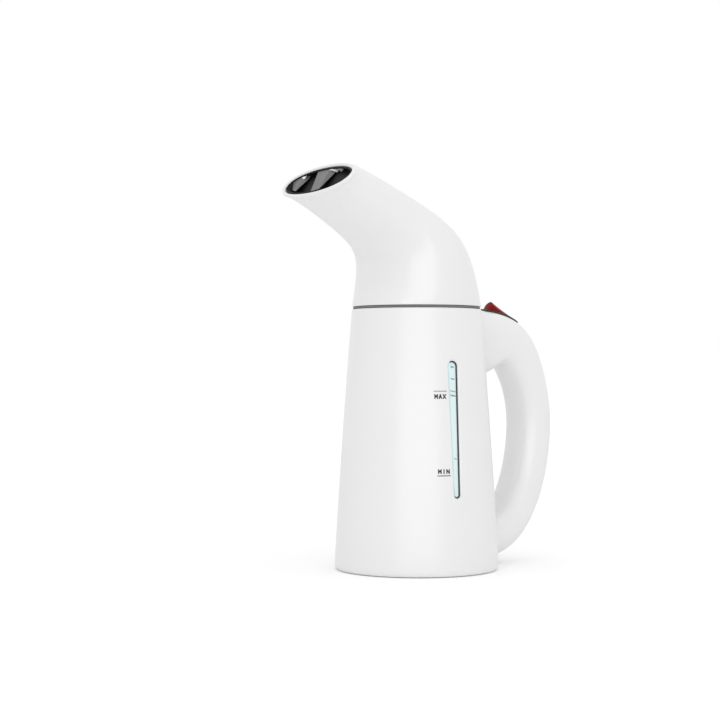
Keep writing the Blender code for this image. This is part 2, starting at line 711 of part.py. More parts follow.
def make_steam_chamber(axis):
    """The chamber over the heater: water enters low at its side, steam leaves up its socket."""
    wall = CHAMBER_WALL
    flange = CHAMBER_RADIUS + CHAMBER_FLANGE_WIDTH
    flange_top = CHAMBER_FOOT + CHAMBER_FLANGE_THICKNESS
    shoulder = CHAMBER_FOOT + CHAMBER_HEIGHT
    socket_floor = shoulder + CHAMBER_CONE_HEIGHT
    socket_top = socket_floor + SOCKET_HEIGHT
    socket = STEAM_TUBE_RADIUS + GAP
    ledge = STEAM_TUBE_RADIUS - wall
    profile = [
        (socket, socket_top),
        (socket + wall, socket_top),
        (socket + wall, socket_floor),
        (CHAMBER_RADIUS, shoulder),
        (CHAMBER_RADIUS, flange_top),
        (flange, flange_top),
        (flange, CHAMBER_FOOT),
        (CHAMBER_RADIUS - wall, CHAMBER_FOOT),
        (CHAMBER_RADIUS - wall, shoulder),
        (ledge, socket_floor - wall),
        (ledge, socket_floor),
        (socket, socket_floor),
    ]
    chamber = as_part(turned("steam_chamber", profile, HEATER_SIDES), "tank_plastic", axis)
    near = CHAMBER_RADIUS - wall - OVERRUN
    height = CHAMBER_FOOT + INLET_RISE
    for number, azimuth in enumerate(azimuths(INLET_COUNT, INLET_AZIMUTH), 1):
        inlet = rod(f"inlet_{number}", INLET_RADIUS, near, CHAMBER_RADIUS + OVERRUN)
        combine(chamber, as_cutter(inlet, axis, (0.0, 0.0, height), (0.0, 90.0, azimuth)))
    bottom = socket_floor + GAP
    profile = [
        (STEAM_OUTLET_RADIUS, STEAM_TUBE_TOP),
        (STEAM_TUBE_RADIUS, STEAM_TUBE_TOP),
        (STEAM_TUBE_RADIUS, bottom),
        (STEAM_TUBE_RADIUS - wall, bottom),
        (STEAM_TUBE_RADIUS - wall, STEAM_TUBE_TOP - wall),
        (STEAM_OUTLET_RADIUS, STEAM_TUBE_TOP - wall),
    ]
    as_part(turned("steam_tube", profile, ROUND_SIDES), "tank_plastic", axis)


def helical_bar(inner, outer, half_height, angles, middle):
    """Rings of a bar that climbs the quick thread and is at the lugs' height at its middle."""
    corners = (
        (inner, -half_height),
        (outer, -half_height),
        (outer, half_height),
        (inner, half_height),
    )
    rings = []
    for angle in angles:
        height = LUG_MIDDLE + THREAD_LEAD * (angle - middle) / TURN
        rings.append([on_circle(radius, angle, height + rise) for radius, rise in corners])
    return rings


def helical_set(name, inner, outer, half_height, before, after, steps):
    """Equal helical bars, one for each start of the thread, in one mesh."""

    def fill_mesh(shape):
        for middle in azimuths(THREAD_STARTS, LUG_AZIMUTH):
            angles = spaced(middle - before, middle + after, steps)
            add_loft(shape, helical_bar(inner, outer, half_height, angles, middle))

    return mesh_object(name, fill_mesh)


def make_collar(axis):
    """The neck collar, with a helical groove for each lug, open at its top."""
    flange_top = COLLAR_BOTTOM + COLLAR_FLANGE_HEIGHT
    outer = COLLAR_BORE + COLLAR_WALL
    flange = casing_bore(flange_top) - GAP
    profile = [
        (outer, CASING_TOP),
        (outer, flange_top + flange - outer),
        (flange, flange_top),
        (flange, COLLAR_BOTTOM),
        (COLLAR_BORE, COLLAR_BOTTOM),
        (COLLAR_BORE, CASING_TOP),
    ]
    collar = as_part(turned("neck_collar", profile, COLLAR_SIDES), "white_shell", axis)
    half_height = LUG_HEIGHT / 2.0 + GAP
    seat_angle = LUG_ANGLE / 2.0 + math.degrees(GAP / COLLAR_BORE)
    exit_angle = TURN * (LUG_BELOW_TOP + half_height + OVERRUN) / THREAD_LEAD
    grooves = helical_set(
        "thread_grooves",
        COLLAR_BORE - OVERRUN,
        THREAD_RADIUS + GAP,
        half_height,
        seat_angle,
        exit_angle,
        GROOVE_STEPS,
    )
    combine(collar, as_cutter(grooves, axis))


def make_head_seal(axis):
    """The grey seal ring that shows as a dark line between the jug and the head."""
    inner = THREAD_RADIUS + 2.0 * GAP
    outer = CASING_TOP_RADIUS - SEAL_INSET
    top = SEAL_BOTTOM + SEAL_THICKNESS
    profile = [(outer, top), (outer, SEAL_BOTTOM), (inner, SEAL_BOTTOM), (inner, top)]
    as_part(turned("head_seal", profile, COLLAR_SIDES), "grey_rubber", axis)


def make_spigot(axis):
    """The spigot under the head: flange, lugs and the ledge for the baffle."""
    bore = SPIGOT_RADIUS - SPIGOT_WALL
    flange = HEAD_BASE_RADIUS - HEAD_WALL - SPIGOT_FLANGE_SETBACK
    flange_top = HEAD_BOTTOM + SPIGOT_FLANGE_HEIGHT
    ledge_top = SPIGOT_BOTTOM + BAFFLE_LEDGE_HEIGHT
    profile = [
        (flange, flange_top),
        (flange, HEAD_BOTTOM),
        (SPIGOT_RADIUS, HEAD_BOTTOM),
        (SPIGOT_RADIUS, SPIGOT_BOTTOM),
        (bore - BAFFLE_LEDGE_WIDTH, SPIGOT_BOTTOM),
        (bore - BAFFLE_LEDGE_WIDTH, ledge_top),
        (bore, ledge_top),
        (bore, flange_top),
    ]
    spigot = as_part(turned("head_spigot", profile, COLLAR_SIDES), "white_shell", axis)
    lugs = helical_set(
        "thread_lugs",
        SPIGOT_RADIUS - SPIGOT_WALL / 2.0,
        THREAD_RADIUS,
        LUG_HEIGHT / 2.0,
        LUG_ANGLE / 2.0,
        LUG_ANGLE / 2.0,
        LUG_STEPS,
    )
    combine(spigot, as_cutter(lugs, axis), "UNION")
    make_baffle(axis, bore, ledge_top + GAP)


def make_baffle(axis, bore, bottom):
    """The slotted disc on the spigot's ledge that keeps splashes out of the head."""
    top = bottom + BAFFLE_THICKNESS
    profile = [(0.0, top), (bore - GAP, top), (bore - GAP, bottom), (0.0, bottom)]
    baffle = turned("steam_baffle", profile, COLLAR_SIDES, closed=False)
    as_part(baffle, "tank_plastic", axis)
    low = (BAFFLE_HUB_RADIUS, -BAFFLE_SLOT_WIDTH / 2.0, bottom - OVERRUN)
    high = (
        bore - BAFFLE_LEDGE_WIDTH - BAFFLE_RIM_WIDTH,
        BAFFLE_SLOT_WIDTH / 2.0,
        top + OVERRUN,
    )
    for number, azimuth in enumerate(azimuths(BAFFLE_SLOT_COUNT), 1):
        slot = block(f"baffle_slot_{number}", low, high)
        combine(baffle, as_cutter(slot, axis, rotation=(0.0, 0.0, azimuth)))


def head_station(share):
    """Centre x and z, tilt, half depth and half width of the head at a share of its spine."""
    rows = []
    stations = zip(
        HEAD_REACH_SHARES,
        HEAD_RISE_SHARES,
        HEAD_TILTS,
        HEAD_TAPER_SHARES,
        HEAD_BASE_WIDTH_SHARES,
        HEAD_MOUTH_WIDTH_SHARES,
    )
    for reach, rise, tilt, taper, base_share, mouth_share in stations:
        depth = HEAD_BASE_RADIUS + (MOUTH_HALF_DEPTH - HEAD_BASE_RADIUS) * taper
        width = HEAD_WAIST_HALF_WIDTH
        width += (HEAD_BASE_RADIUS - HEAD_WAIST_HALF_WIDTH) * base_share
        width += (MOUTH_HALF_WIDTH - HEAD_WAIST_HALF_WIDTH) * mouth_share
        spot = (-HEAD_SPINE_REACH * reach, HEAD_BOTTOM + HEAD_SPINE_RISE * rise)
        rows.append((*spot, tilt, depth, width))
    return smooth_curve(spaced(0.0, 1.0, len(rows) - 1), rows, [share])[0]


def head_ring(share, inset=0.0, rise=0.0):
    """One ring of the head, drawn in by the inset and lifted along its normal by the rise."""
    x, z, tilt, half_depth, half_width = head_station(share)
    turn = math.radians(tilt)
    forward = Vector((-math.cos(turn), 0.0, -math.sin(turn)))
    normal = Vector((-math.sin(turn), 0.0, math.cos(turn)))
    centre = Vector((x, 0.0, z)) + normal * rise
    section = oval(half_depth - inset, half_width - inset, HEAD_SECTION_POWER, HEAD_SIDES)
    return [centre + forward * along + Vector((0.0, across, 0.0)) for along, across in section]


def make_head_shell(axis):
    """The goose-neck shell: outer skin up to the mouth, round lip, and inner skin back down."""
    rings = [head_ring(share) for share in spaced(0.0, 1.0, HEAD_OUTER_STEPS)]
    lip_radius = HEAD_WALL / 2.0
    for step in range(1, LIP_STEPS + 1):
        turn = math.pi * step / (LIP_STEPS + 1)
        inset = lip_radius * (1.0 - math.cos(turn))
        rings.append(head_ring(1.0, inset, lip_radius * math.sin(turn)))
    inner = spaced(1.0, VENT_FLOOR_SHARE, VENT_STEPS)[:-1]
    inner += spaced(VENT_FLOOR_SHARE, 0.0, HEAD_INNER_STEPS)
    rings += [head_ring(share, HEAD_WALL) for share in inner]
    as_part(loft("head_shell", rings, closed=True), "white_shell", axis)


def make_vent(axis):
    """The black vent cup in the mouth: vanes from brow to chin, and steam slots between them."""
    skin = HEAD_WALL + GAP
    inner = skin + VENT_WALL
    rings = [head_ring(share, skin) for share in spaced(VENT_FLOOR_SHARE, VENT_RIM_SHARE, VENT_STEPS)]
    vent = as_part(loft("outlet_vent", rings), "black_plastic", axis)
    rings = [head_ring(share, inner) for share in spaced(VENT_CAVITY_SHARE, VENT_RIM_SHARE, VENT_STEPS)]
    rings.append(head_ring(VENT_RIM_SHARE, inner, OVERRUN))
    cavity = as_cutter(loft("vent_cavity", rings), axis)
    x, z, tilt, half_depth, _ = head_station(VENT_RIM_SHARE)
    mouth = make_empty("mouth_frame", axis, (x, 0.0, z), (0.0, -tilt, 0.0))
    reach = half_depth + OVERRUN
    lateral = [VANE_SPACING * (index - (VANE_COUNT - 1) / 2.0) for index in range(VANE_COUNT)]
    for number, middle in enumerate(lateral, 1):
        low = (-reach, middle - VANE_THICKNESS / 2.0, -2.0 * reach)
        high = (reach, middle + VANE_THICKNESS / 2.0, -VANE_RECESS)
        combine(cavity, as_cutter(block(f"vane_{number}", low, high), mouth))
    combine(vent, cavity)
    x, z, tilt, half_depth, _ = head_station(VENT_FLOOR_SHARE)
    floor = make_empty("vent_floor_frame", axis, (x, 0.0, z), (0.0, -tilt, 0.0))
    for number, (left, right) in enumerate(zip(lateral[:-1], lateral[1:]), 1):
        middle = (left + right) / 2.0
        low = (-VENT_SLOT_WIDTH / 2.0, middle - VENT_SLOT_LENGTH / 2.0, -half_depth)
        high = (VENT_SLOT_WIDTH / 2.0, middle + VENT_SLOT_LENGTH / 2.0, half_depth / 2.0)
        combine(vent, as_cutter(block(f"vent_slot_{number}", low, high), floor))


def handle_frames(start, end, steps):
    """Centre and outward direction of the handle at shares of its path."""
    rows = []
    for reach, rise in zip(HANDLE_REACH_SHARES, HANDLE_RISE_SHARES):
        z = HANDLE_FOOT_HEIGHT + (HANDLE_TOP_HEIGHT - HANDLE_FOOT_HEIGHT) * rise
        side = casing_radius(z)
        rows.append((side + (GRIP_REACH - side) * reach, z))
    lengths = np.linalg.norm(np.diff(rows, axis=0), axis=1)
    knots = np.concatenate(([0.0], np.cumsum(lengths))) / lengths.sum()
    samples = spaced(start, end, steps)
    centres = smooth_curve(knots, rows, samples)
    ahead = smooth_curve(knots, rows, [sample + SPLINE_PROBE_SHARE for sample in samples])
    frames = []
    for centre, beyond in zip(centres, ahead):
        along = Vector((beyond[0] - centre[0], 0.0, beyond[1] - centre[1])).normalized()
        frames.append((Vector((centre[0], 0.0, centre[1])), Vector((-along.z, 0.0, along.x))))
    return frames


def handle_rings(start, end, steps, inset=0.0):
    """Rings of the handle's tube, drawn in by the inset."""
    section = oval(
        HANDLE_HALF_DEPTH - inset,
        HANDLE_HALF_WIDTH - inset,
        HANDLE_SECTION_POWER,
        HANDLE_SIDES,
    )
    rings = []
    for centre, outward in handle_frames(start, end, steps):
        rings.append([centre + outward * deep + Vector((0.0, wide, 0.0)) for deep, wide in section])
    return rings


def finger_side_band(name, half_width, shorten):
    """A band that follows the finger side of the handle, where its cover lies."""
    start, end = COVER_SHARES
    reach = HANDLE_HALF_DEPTH + OVERRUN
    corners = ((reach, -half_width), (reach, half_width), (0.0, half_width), (0.0, -half_width))
    rings = []
    for centre, outward in handle_frames(start + shorten, end - shorten, COVER_STEPS):
        rings.append([centre - outward * deep + Vector((0.0, wide, 0.0)) for deep, wide in corners])
    return loft(name, rings)


def casing_envelope(axis):
    """The jug's outer shape with its gap, for cutting what stands against it."""
    roof = HANDLE_TOP_HEIGHT + HANDLE_HALF_DEPTH + OVERRUN
    floor = HANDLE_FOOT_HEIGHT - HANDLE_HALF_DEPTH - OVERRUN
    profile = [(0.0, roof), (CASING_TOP_RADIUS + GAP, roof)]
    for height in spaced(CASING_TOP, CASING_BOTTOM, CASING_STEPS):
        profile.append((casing_radius(height) + GAP, height))
    profile += [(CASING_BASE_RADIUS + GAP, floor), (0.0, floor)]
    return as_cutter(turned("casing_envelope", profile, CASING_SIDES, closed=False), axis)


def make_handle(axis, seat):
    """The handle: a hollow shell, and the cover that closes it on the finger side."""
    tube = handle_rings(0.0, 1.0, HANDLE_STEPS)
    inside = handle_rings(*HANDLE_HOLLOW_SHARES, HANDLE_HOLLOW_STEPS, HANDLE_WALL)
    hollow = as_cutter(loft("handle_hollow", inside), axis)
    slot = as_cutter(finger_side_band("cover_slot", COVER_HALF_WIDTH + GAP, 0.0), axis)
    shell = as_part(loft("handle_shell", tube), "white_shell", axis)
    for tool in (hollow, slot, casing_envelope(axis)):
        combine(shell, tool)
    length = CAVITY_HALF_LENGTH + SWITCH_WALL + GAP
    width = CAVITY_HALF_WIDTH + SWITCH_WALL + GAP
    low = (-length, -width, -SWITCH_DEPTH - GAP)
    well = block("switch_well", low, (length, width, ROCKER_TOP + OVERRUN))
    combine(shell, as_cutter(well, seat))
    cover = as_part(loft("handle_cover", tube), "white_shell", axis)
    combine(cover, hollow)
    shorten = GAP / (HANDLE_TOP_HEIGHT - HANDLE_FOOT_HEIGHT)
    strip = as_cutter(finger_side_band("cover_strip", COVER_HALF_WIDTH, shorten), axis)
    combine(cover, strip, "INTERSECT")
    return shell


def make_handle_screws(axis, casing, shell):
    """Screws through the casing's wall into the solid ends of the handle."""
    heights = {
        "handle_screw_upper": HANDLE_TOP_HEIGHT - UPPER_SCREW_DROP,
        "handle_screw_lower": HANDLE_FOOT_HEIGHT + LOWER_SCREW_RISE,
    }
    turn = (0.0, -90.0, 0.0)
    for name, height in heights.items():
        spot = (casing_bore(height + SCREW_HEAD_RADIUS) - GAP, 0.0, height)
        hole = rod(f"{name}_hole", SCREW_SHANK_RADIUS + GAP, -HANDLE_SCREW_LENGTH - GAP, OVERRUN)
        as_cutter(hole, axis, spot, turn)
        combine(casing, hole)
        combine(shell, hole)
        make_screw(name, axis, HANDLE_SCREW_LENGTH, spot, turn)


def make_switch_housing(axis, seat):
    """The black housing: its rim follows the handle's skin, and its cavity holds the rocker."""
    length = CAVITY_HALF_LENGTH
    width = CAVITY_HALF_WIDTH
    housing = block(
        "switch_housing",
        (-length - SWITCH_WALL, -width - SWITCH_WALL, -SWITCH_DEPTH),
        (length + SWITCH_WALL, width + SWITCH_WALL, ROCKER_TOP),
    )
    as_part(housing, "black_plastic", seat)
    skin = loft("switch_rim_limit", handle_rings(0.0, 1.0, HANDLE_STEPS, -BEZEL_PROUD))
    combine(housing, as_cutter(skin, axis), "INTERSECT")
    cavity = block(
        "switch_cavity",
        (-length, -width, -SWITCH_CAVITY_DEPTH),
        (length, width, ROCKER_TOP + OVERRUN),
    )
    combine(housing, as_cutter(cavity, seat))
    reach = ROCKER_HALF_WIDTH + TRUNNION_LENGTH + GAP
    bearing = rod("trunnion_bearing", TRUNNION_RADIUS + GAP, -reach, reach)
    combine(housing, as_cutter(bearing, seat, (0.0, 0.0, -ROCKER_PIVOT_DEPTH), (90.0, 0.0, 0.0)))
    return housing


def make_switch_terminals(seat, housing):
    """Two brass tabs under the switch, each in a socket of the housing."""
    top = TERMINAL_ROOT - SWITCH_DEPTH
    half_width = TERMINAL_WIDTH / 2.0
    half_thickness = TERMINAL_THICKNESS / 2.0
    for number, middle in enumerate((-TERMINAL_SPACING / 2.0, TERMINAL_SPACING / 2.0), 1):
        tab = block(
            f"switch_terminal_{number}",
            (middle - half_thickness, -half_width, -SWITCH_DEPTH - TERMINAL_LENGTH),
            (middle + half_thickness, half_width, top),
        )
        as_part(tab, "brass", seat)
        socket = block(
            f"terminal_socket_{number}",
            (middle - half_thickness - GAP, -half_width - GAP, -SWITCH_DEPTH - OVERRUN),
            (middle + half_thickness + GAP, half_width + GAP, top + GAP),
        )
        combine(housing, as_cutter(socket, seat))


def rocker_ring(along, crest):
    """Section of the rocker about its pivot: an arched top over two straight sides."""
    bottom = ROCKER_PIVOT_DEPTH - ROCKER_BOTTOM
    ring = [(along, ROCKER_HALF_WIDTH, bottom), (along, -ROCKER_HALF_WIDTH, bottom)]
    for share in spaced(-1.0, 1.0, ROCKER_CROWN_STEPS):
        ring.append((along, share * ROCKER_HALF_WIDTH, crest - ROCKER_CROWN * share**2))
    return ring


def make_rocker(seat):
    """The red rocker, tilted with its end next to the jug raised, on two trunnions."""
    crest = ROCKER_TOP + ROCKER_PIVOT_DEPTH
    rings = [
        rocker_ring(-ROCKER_HALF_LENGTH, crest),
        rocker_ring(0.0, crest - ROCKER_DISH),
        rocker_ring(ROCKER_HALF_LENGTH, crest),
    ]
    pivot = (0.0, 0.0, -ROCKER_PIVOT_DEPTH)
    rocker = round_edges(loft("rocker_button", rings), ROCKER_EDGE_ROUND)
    as_part(rocker, "red_plastic", seat, pivot, (0.0, ROCKER_TILT, 0.0))
    reach = ROCKER_HALF_WIDTH + TRUNNION_LENGTH
    trunnions = rod("rocker_trunnions", TRUNNION_RADIUS, -reach, reach)
    combine(rocker, as_cutter(trunnions, seat, pivot, (90.0, 0.0, 0.0)), "UNION")


def window_ring(offset, depth):
    """The tapered slot's outline with round ends, grown by an offset, at a depth."""
    half_height = (WINDOW_TOP - WINDOW_BOTTOM) / 2.0
    ends = (
        (half_height - WINDOW_TOP_HALF_WIDTH, WINDOW_TOP_HALF_WIDTH, 0.0),
        (WINDOW_BOTTOM_HALF_WIDTH - half_height, WINDOW_BOTTOM_HALF_WIDTH, TURN / 2.0),
    )
    ring = []
    for middle, radius, first in ends:
        for angle in spaced(first, first + TURN / 2.0, WINDOW_ARC_STEPS):
            turn = math.radians(angle)
            reach = radius + offset
            ring.append((reach * math.cos(turn), depth, middle + reach * math.sin(turn)))
    return ring


def make_window(axis, casing):
    """The water window: slot in the casing, dark seal that lines it, and the clear pane."""
    middle = (WINDOW_TOP + WINDOW_BOTTOM) / 2.0
    lean = casing_slope(WINDOW_BOTTOM, WINDOW_TOP)
    spot = on_circle(casing_radius(middle), -TURN / 4.0 - WINDOW_SWING, middle)
    seat = make_empty("window_seat", axis, spot, (-lean, 0.0, -WINDOW_SWING))
    slot = [
        window_ring(WINDOW_CHAMFER + OVERRUN, -OVERRUN),
        window_ring(0.0, WINDOW_CHAMFER),
        window_ring(0.0, CASING_WALL + OVERRUN),
    ]
    combine(casing, as_cutter(loft("window_slot", slot), seat))
    flange_reach = WINDOW_TOP_HALF_WIDTH + WINDOW_FLANGE
    sag = flange_reach**2 / (2.0 * casing_bore(WINDOW_TOP)) + CASING_BELLY
    pane_back = CASING_WALL + sag + GAP
    seal_outer = -GAP
    seal_inner = seal_outer - WINDOW_SEAL_WIDTH
    seal = [
        window_ring(seal_outer, WINDOW_SEAL_DEPTH),
        window_ring(seal_outer, pane_back - GAP),
        window_ring(seal_inner, pane_back - GAP),
        window_ring(seal_inner, WINDOW_SEAL_DEPTH),
    ]
    as_part(loft("window_seal", seal, closed=True), "grey_rubber", seat)
    pane = [
        window_ring(seal_inner - GAP, WINDOW_PANE_DEPTH),
        window_ring(seal_inner - GAP, pane_back),
        window_ring(WINDOW_FLANGE, pane_back),
        window_ring(WINDOW_FLANGE, pane_back + WINDOW_THICKNESS),
    ]
    as_part(loft("water_window", pane), "clear_window", seat)


def make_gland(axis, casing):
    """The rubber grommet for a mains lead, held by the casing's wall."""
    lean = casing_slope(CASING_BOTTOM, 2.0 * GLAND_HEIGHT)
    skew = GLAND_FLANGE_RADIUS * math.sin(math.radians(lean))
    sag = GLAND_FLANGE_RADIUS**2 / (2.0 * casing_bore(GLAND_HEIGHT))
    outside = GAP + skew
    inside = -CASING_WALL - sag - GAP - skew
    tail_end = outside + GLAND_FLANGE_THICKNESS + GLAND_TAIL
    profile = [
        (GLAND_BORE, tail_end),
        (GLAND_TAIL_RADIUS, tail_end),
        (GLAND_FLANGE_RADIUS, outside + GLAND_FLANGE_THICKNESS),
        (GLAND_FLANGE_RADIUS, outside),
        (GLAND_NECK_RADIUS, outside),
        (GLAND_NECK_RADIUS, inside),
        (GLAND_FLANGE_RADIUS, inside),
        (GLAND_FLANGE_RADIUS, inside - GLAND_FLANGE_THICKNESS),
        (GLAND_BORE, inside - GLAND_FLANGE_THICKNESS),
    ]
    spot = on_circle(casing_radius(GLAND_HEIGHT), GLAND_AZIMUTH, GLAND_HEIGHT)
    turn = (0.0, 90.0, GLAND_AZIMUTH)
    as_part(turned("cord_gland", profile, ROUND_SIDES), "grey_rubber", axis, spot, turn)
    hole = rod("gland_hole", GLAND_NECK_RADIUS + GAP, -CASING_WALL - OVERRUN, OVERRUN, ROUND_SIDES)
    combine(casing, as_cutter(hole, axis, spot, turn))


def settle_parts():
    """Give every part its finished mesh, shaded smooth between sharp edges."""
    bpy.context.view_layer.update()
    graph = bpy.context.evaluated_depsgraph_get()
    parts = [item for item in bpy.data.collections[PART_COLLECTION].objects if item.type == "MESH"]
    finished = {item: bpy.data.meshes.new_from_object(item.evaluated_get(graph)) for item in parts}
    for item, mesh in finished.items():
        item.modifiers.clear()
        item.data = mesh
        mesh.name = item.name
        mesh.shade_smooth()
        mesh.set_sharp_from_angle(angle=math.radians(SMOOTH_ANGLE))


def main():
    """Build the whole steamer."""
    clear_scene()
    make_collection(PART_COLLECTION)
    make_collection(CUTTER_COLLECTION)
    axis = make_empty("steamer_axis", location=(AXIS_X, 0.0, 0.0))
    seat = make_empty("switch_seat", axis, (SWITCH_X, 0.0, SWITCH_Z), (0.0, SWITCH_SLOPE, 0.0))
    casing = make_casing(axis)
    plate = make_base_plate(axis)
    make_base_screws(axis, plate)
    make_feet(axis, plate)
    make_tank(axis)
    make_heater(axis)
    make_heating_element(axis)
    make_heat_controls(axis)
    make_steam_chamber(axis)
    make_collar(axis)
    make_head_seal(axis)
    make_spigot(axis)
    make_head_shell(axis)
    make_vent(axis)
    shell = make_handle(axis, seat)
    make_handle_screws(axis, casing, shell)
    housing = make_switch_housing(axis, seat)
    make_switch_terminals(seat, housing)
    make_rocker(seat)
    make_window(axis, casing)
    make_gland(axis, casing)
    settle_parts()


main()
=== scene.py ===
import json
import math

import bmesh
import bpy
import numpy as np
from mathutils import Matrix, Vector


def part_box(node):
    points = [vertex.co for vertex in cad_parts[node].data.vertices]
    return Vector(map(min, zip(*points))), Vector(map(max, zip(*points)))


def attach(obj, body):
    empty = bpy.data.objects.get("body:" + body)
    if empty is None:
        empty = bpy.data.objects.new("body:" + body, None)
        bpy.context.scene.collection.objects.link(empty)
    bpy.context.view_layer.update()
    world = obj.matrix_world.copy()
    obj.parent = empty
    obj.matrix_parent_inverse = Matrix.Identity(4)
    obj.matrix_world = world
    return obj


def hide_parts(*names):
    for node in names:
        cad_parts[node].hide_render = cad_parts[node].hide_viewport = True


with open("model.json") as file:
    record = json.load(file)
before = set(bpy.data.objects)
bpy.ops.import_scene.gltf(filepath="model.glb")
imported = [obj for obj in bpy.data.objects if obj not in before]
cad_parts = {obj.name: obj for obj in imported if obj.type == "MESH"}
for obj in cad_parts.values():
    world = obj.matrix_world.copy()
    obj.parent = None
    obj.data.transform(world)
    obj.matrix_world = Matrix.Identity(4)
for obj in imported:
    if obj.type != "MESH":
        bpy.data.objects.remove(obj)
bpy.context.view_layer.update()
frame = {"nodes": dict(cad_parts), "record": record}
nodes = frame["nodes"]

# Lengths are in metres and angles in degrees. The scene shares the frame of the CAD model.
TURN = 360.0
GAP = 0.0003
HAIRLINE = 0.00006
OVERRUN = 0.002
FLAT_ANGLE = 35.0
ROUND_SEGMENTS = 3
SPLINE_PROBE_SHARE = 0.001

# Jug, as in the CAD model, with its skin a little slimmer at the top and lower at the foot
casing_low, casing_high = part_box("casing")
AXIS_X = (casing_low.x + casing_high.x) / 2.0
CASING_BOTTOM = casing_low.z
CASING_TOP = casing_high.z
CASING_BASE_RADIUS = 0.0466
CASING_TOP_RADIUS = 0.0367
CASING_TOP_TRIM = 0.0005
CASING_BELLY = 0.0005
CASING_WALL = 0.0024
CASING_SIDES = 192
CASING_STEPS = 16
CASING_DROP = 0.0004
CASING_CORNER_WIDTH = 0.0012
CASING_CORNER_HEIGHT = 0.0030
CASING_CORNER_STEPS = 8
CASING_TOP_ROUND = 0.0003

# Seal ring in the seam under the head
SEAM_RECESS = 0.0001
SEAM_WIDTH = 0.0020

# Water window, as in the CAD model, with a crowned pane nearer the surface. Its seal is dark
# beyond one line on the side towards the handle, as painted shade on the slot's wall, and aqua before
# it.
WINDOW_SWING = 5.0
WINDOW_BOTTOM = 0.0425
WINDOW_TOP_DROP = 0.0290
WINDOW_TOP = CASING_TOP - WINDOW_TOP_DROP
WINDOW_TOP_HALF_WIDTH = 0.0031
WINDOW_BOTTOM_HALF_WIDTH = 0.0021
WINDOW_CHAMFER = 0.0009
WINDOW_SEAL_WIDTH = 0.0007
WINDOW_SEAL_DEPTH = 0.0014
WINDOW_PANE_DEPTH = 0.0017
WINDOW_PANE_CROWN = 0.0003
WINDOW_PAINTED_SHADE_EDGE = -0.0014
WINDOW_FLANGE = 0.0022
WINDOW_THICKNESS = 0.0010
WINDOW_ARC_STEPS = 18

# Fine ticks on the pane: height over the table, half width and thickness. Each one slants by a
# share of its half width, and thins to a share of its thickness at its ends.
TICKS = (
    (0.1146, 0.0012, 0.0011),
    (0.1080, 0.0014, 0.0009),
    (0.1012, 0.0019, 0.0007),
    (0.0988, 0.0019, 0.0010),
    (0.0642, 0.0010, 0.0006),
)
TICK_SLANT = -0.18
TICK_END_SHARE = 0.2
TICK_STEPS = 8

# Hole of the mains lead's grommet, as in the CAD model
GLAND_AZIMUTH = 30.0
GLAND_HEIGHT = 0.0140
GLAND_NECK_RADIUS = 0.0042
GLAND_SIDES = 18

# Steam head: the CAD model's form, refined in its spine, widths and tilts. The eased lower edge
# has a ring for each pair of shares, of its height and of its inset.
HEAD_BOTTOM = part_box("head_shell")[0].z
HEAD_SETBACK = 0.0006
HEAD_BASE_RADIUS = CASING_TOP_RADIUS - HEAD_SETBACK
HEAD_SPINE_REACH = 0.0662
HEAD_SPINE_RISE = 0.0674
HEAD_WAIST_SHARE = 0.8864
HEAD_WAIST_HALF_WIDTH = HEAD_BASE_RADIUS * HEAD_WAIST_SHARE
MOUTH_WIDTH_SHARE = 0.9504
MOUTH_HALF_WIDTH = HEAD_BASE_RADIUS * MOUTH_WIDTH_SHARE
MOUTH_HALF_DEPTH = 0.0125
MOUTH_TILT = 48.0
HEAD_TILTS = (0.0, 12.0, 35.0, 52.0, MOUTH_TILT)
HEAD_REACH_SHARES = (0.0, 0.076, 0.390, 0.855, 1.0)
HEAD_RISE_SHARES = (0.0, 0.446, 0.720, 0.952, 1.0)
HEAD_TAPER_SHARES = (0.0, 0.374, 0.732, 0.949, 1.0)
HEAD_BASE_WIDTH_SHARES = (1.0, 0.95, 0.0, 0.0, 0.0)
HEAD_MOUTH_WIDTH_SHARES = (0.0, 0.0, 0.0, 0.05, 1.0)
HEAD_WALL = 0.0024
HEAD_SECTION_POWER = 2.1
HEAD_SIDES = 96
HEAD_STEPS = 44
HEAD_EDGE_ROUND = 0.0003
HEAD_EDGE_SHARES = ((0.0, 1.0), (1.0 / 3.0, 0.25))
LIP_STEPS = 7

# Vent cup in the mouth. Its wedge-shaped fins run from the brow's wall towards the chin, and its
# ribs run down that wall. Places and shifts are across the mouth: one place for each fin, and the
# first and last place of each rib. Reaches go from -1 on the brow's wall to 1 on the chin's.
# Shares are along the head's spine. The other pairs hold a first and a last value, and the limit
# keeps a fin's corners inside the cup.
VENT_WALL = 0.0012
VENT_FLOOR_SHARE = 0.80
VENT_CAVITY_SHARE = 0.84
VENT_RIM_SHARE = 0.985
VENT_STEPS = 8
VENT_LIP_STEPS = 3
FIN_PLACES = (0.0, 0.0255)
FIN_RIM_SHIFTS = (0.0090, -0.0030)
FIN_ROOT_SHIFTS = (0.0090, -0.0070)
FIN_TIP_SHIFTS = (0.0050, -0.0060)
FIN_LIMIT = 0.0290
FIN_RIM_SHARE = 1.008
FIN_RIM_REACH = -1.15
FIN_ROOT_SHARES = (0.975, 0.865)
FIN_EDGE_REACHES = (-0.98, -0.74)
FIN_TIP_SHARES = (0.885, 0.941)
FIN_TIP_REACH = 0.75
FIN_STEPS = 12
RIB_PLACES = ((-0.0130, -0.0160), (-0.0034, -0.0080), (0.0222, 0.0205))
RIB_DEPTH_SHARES = (0.925, 0.862, 0.930)
# The two white ribs are painted glints on the brow's wall, and the grey first rib is painted shade.
RIB_GLINT_AND_SHADE_LOOKS = ("fin", "white_shell", "white_shell")
RIB_WIDTH = 0.0012
RIB_PROUDS = (0.0004, 0.0024)
RIB_STEPS = 6

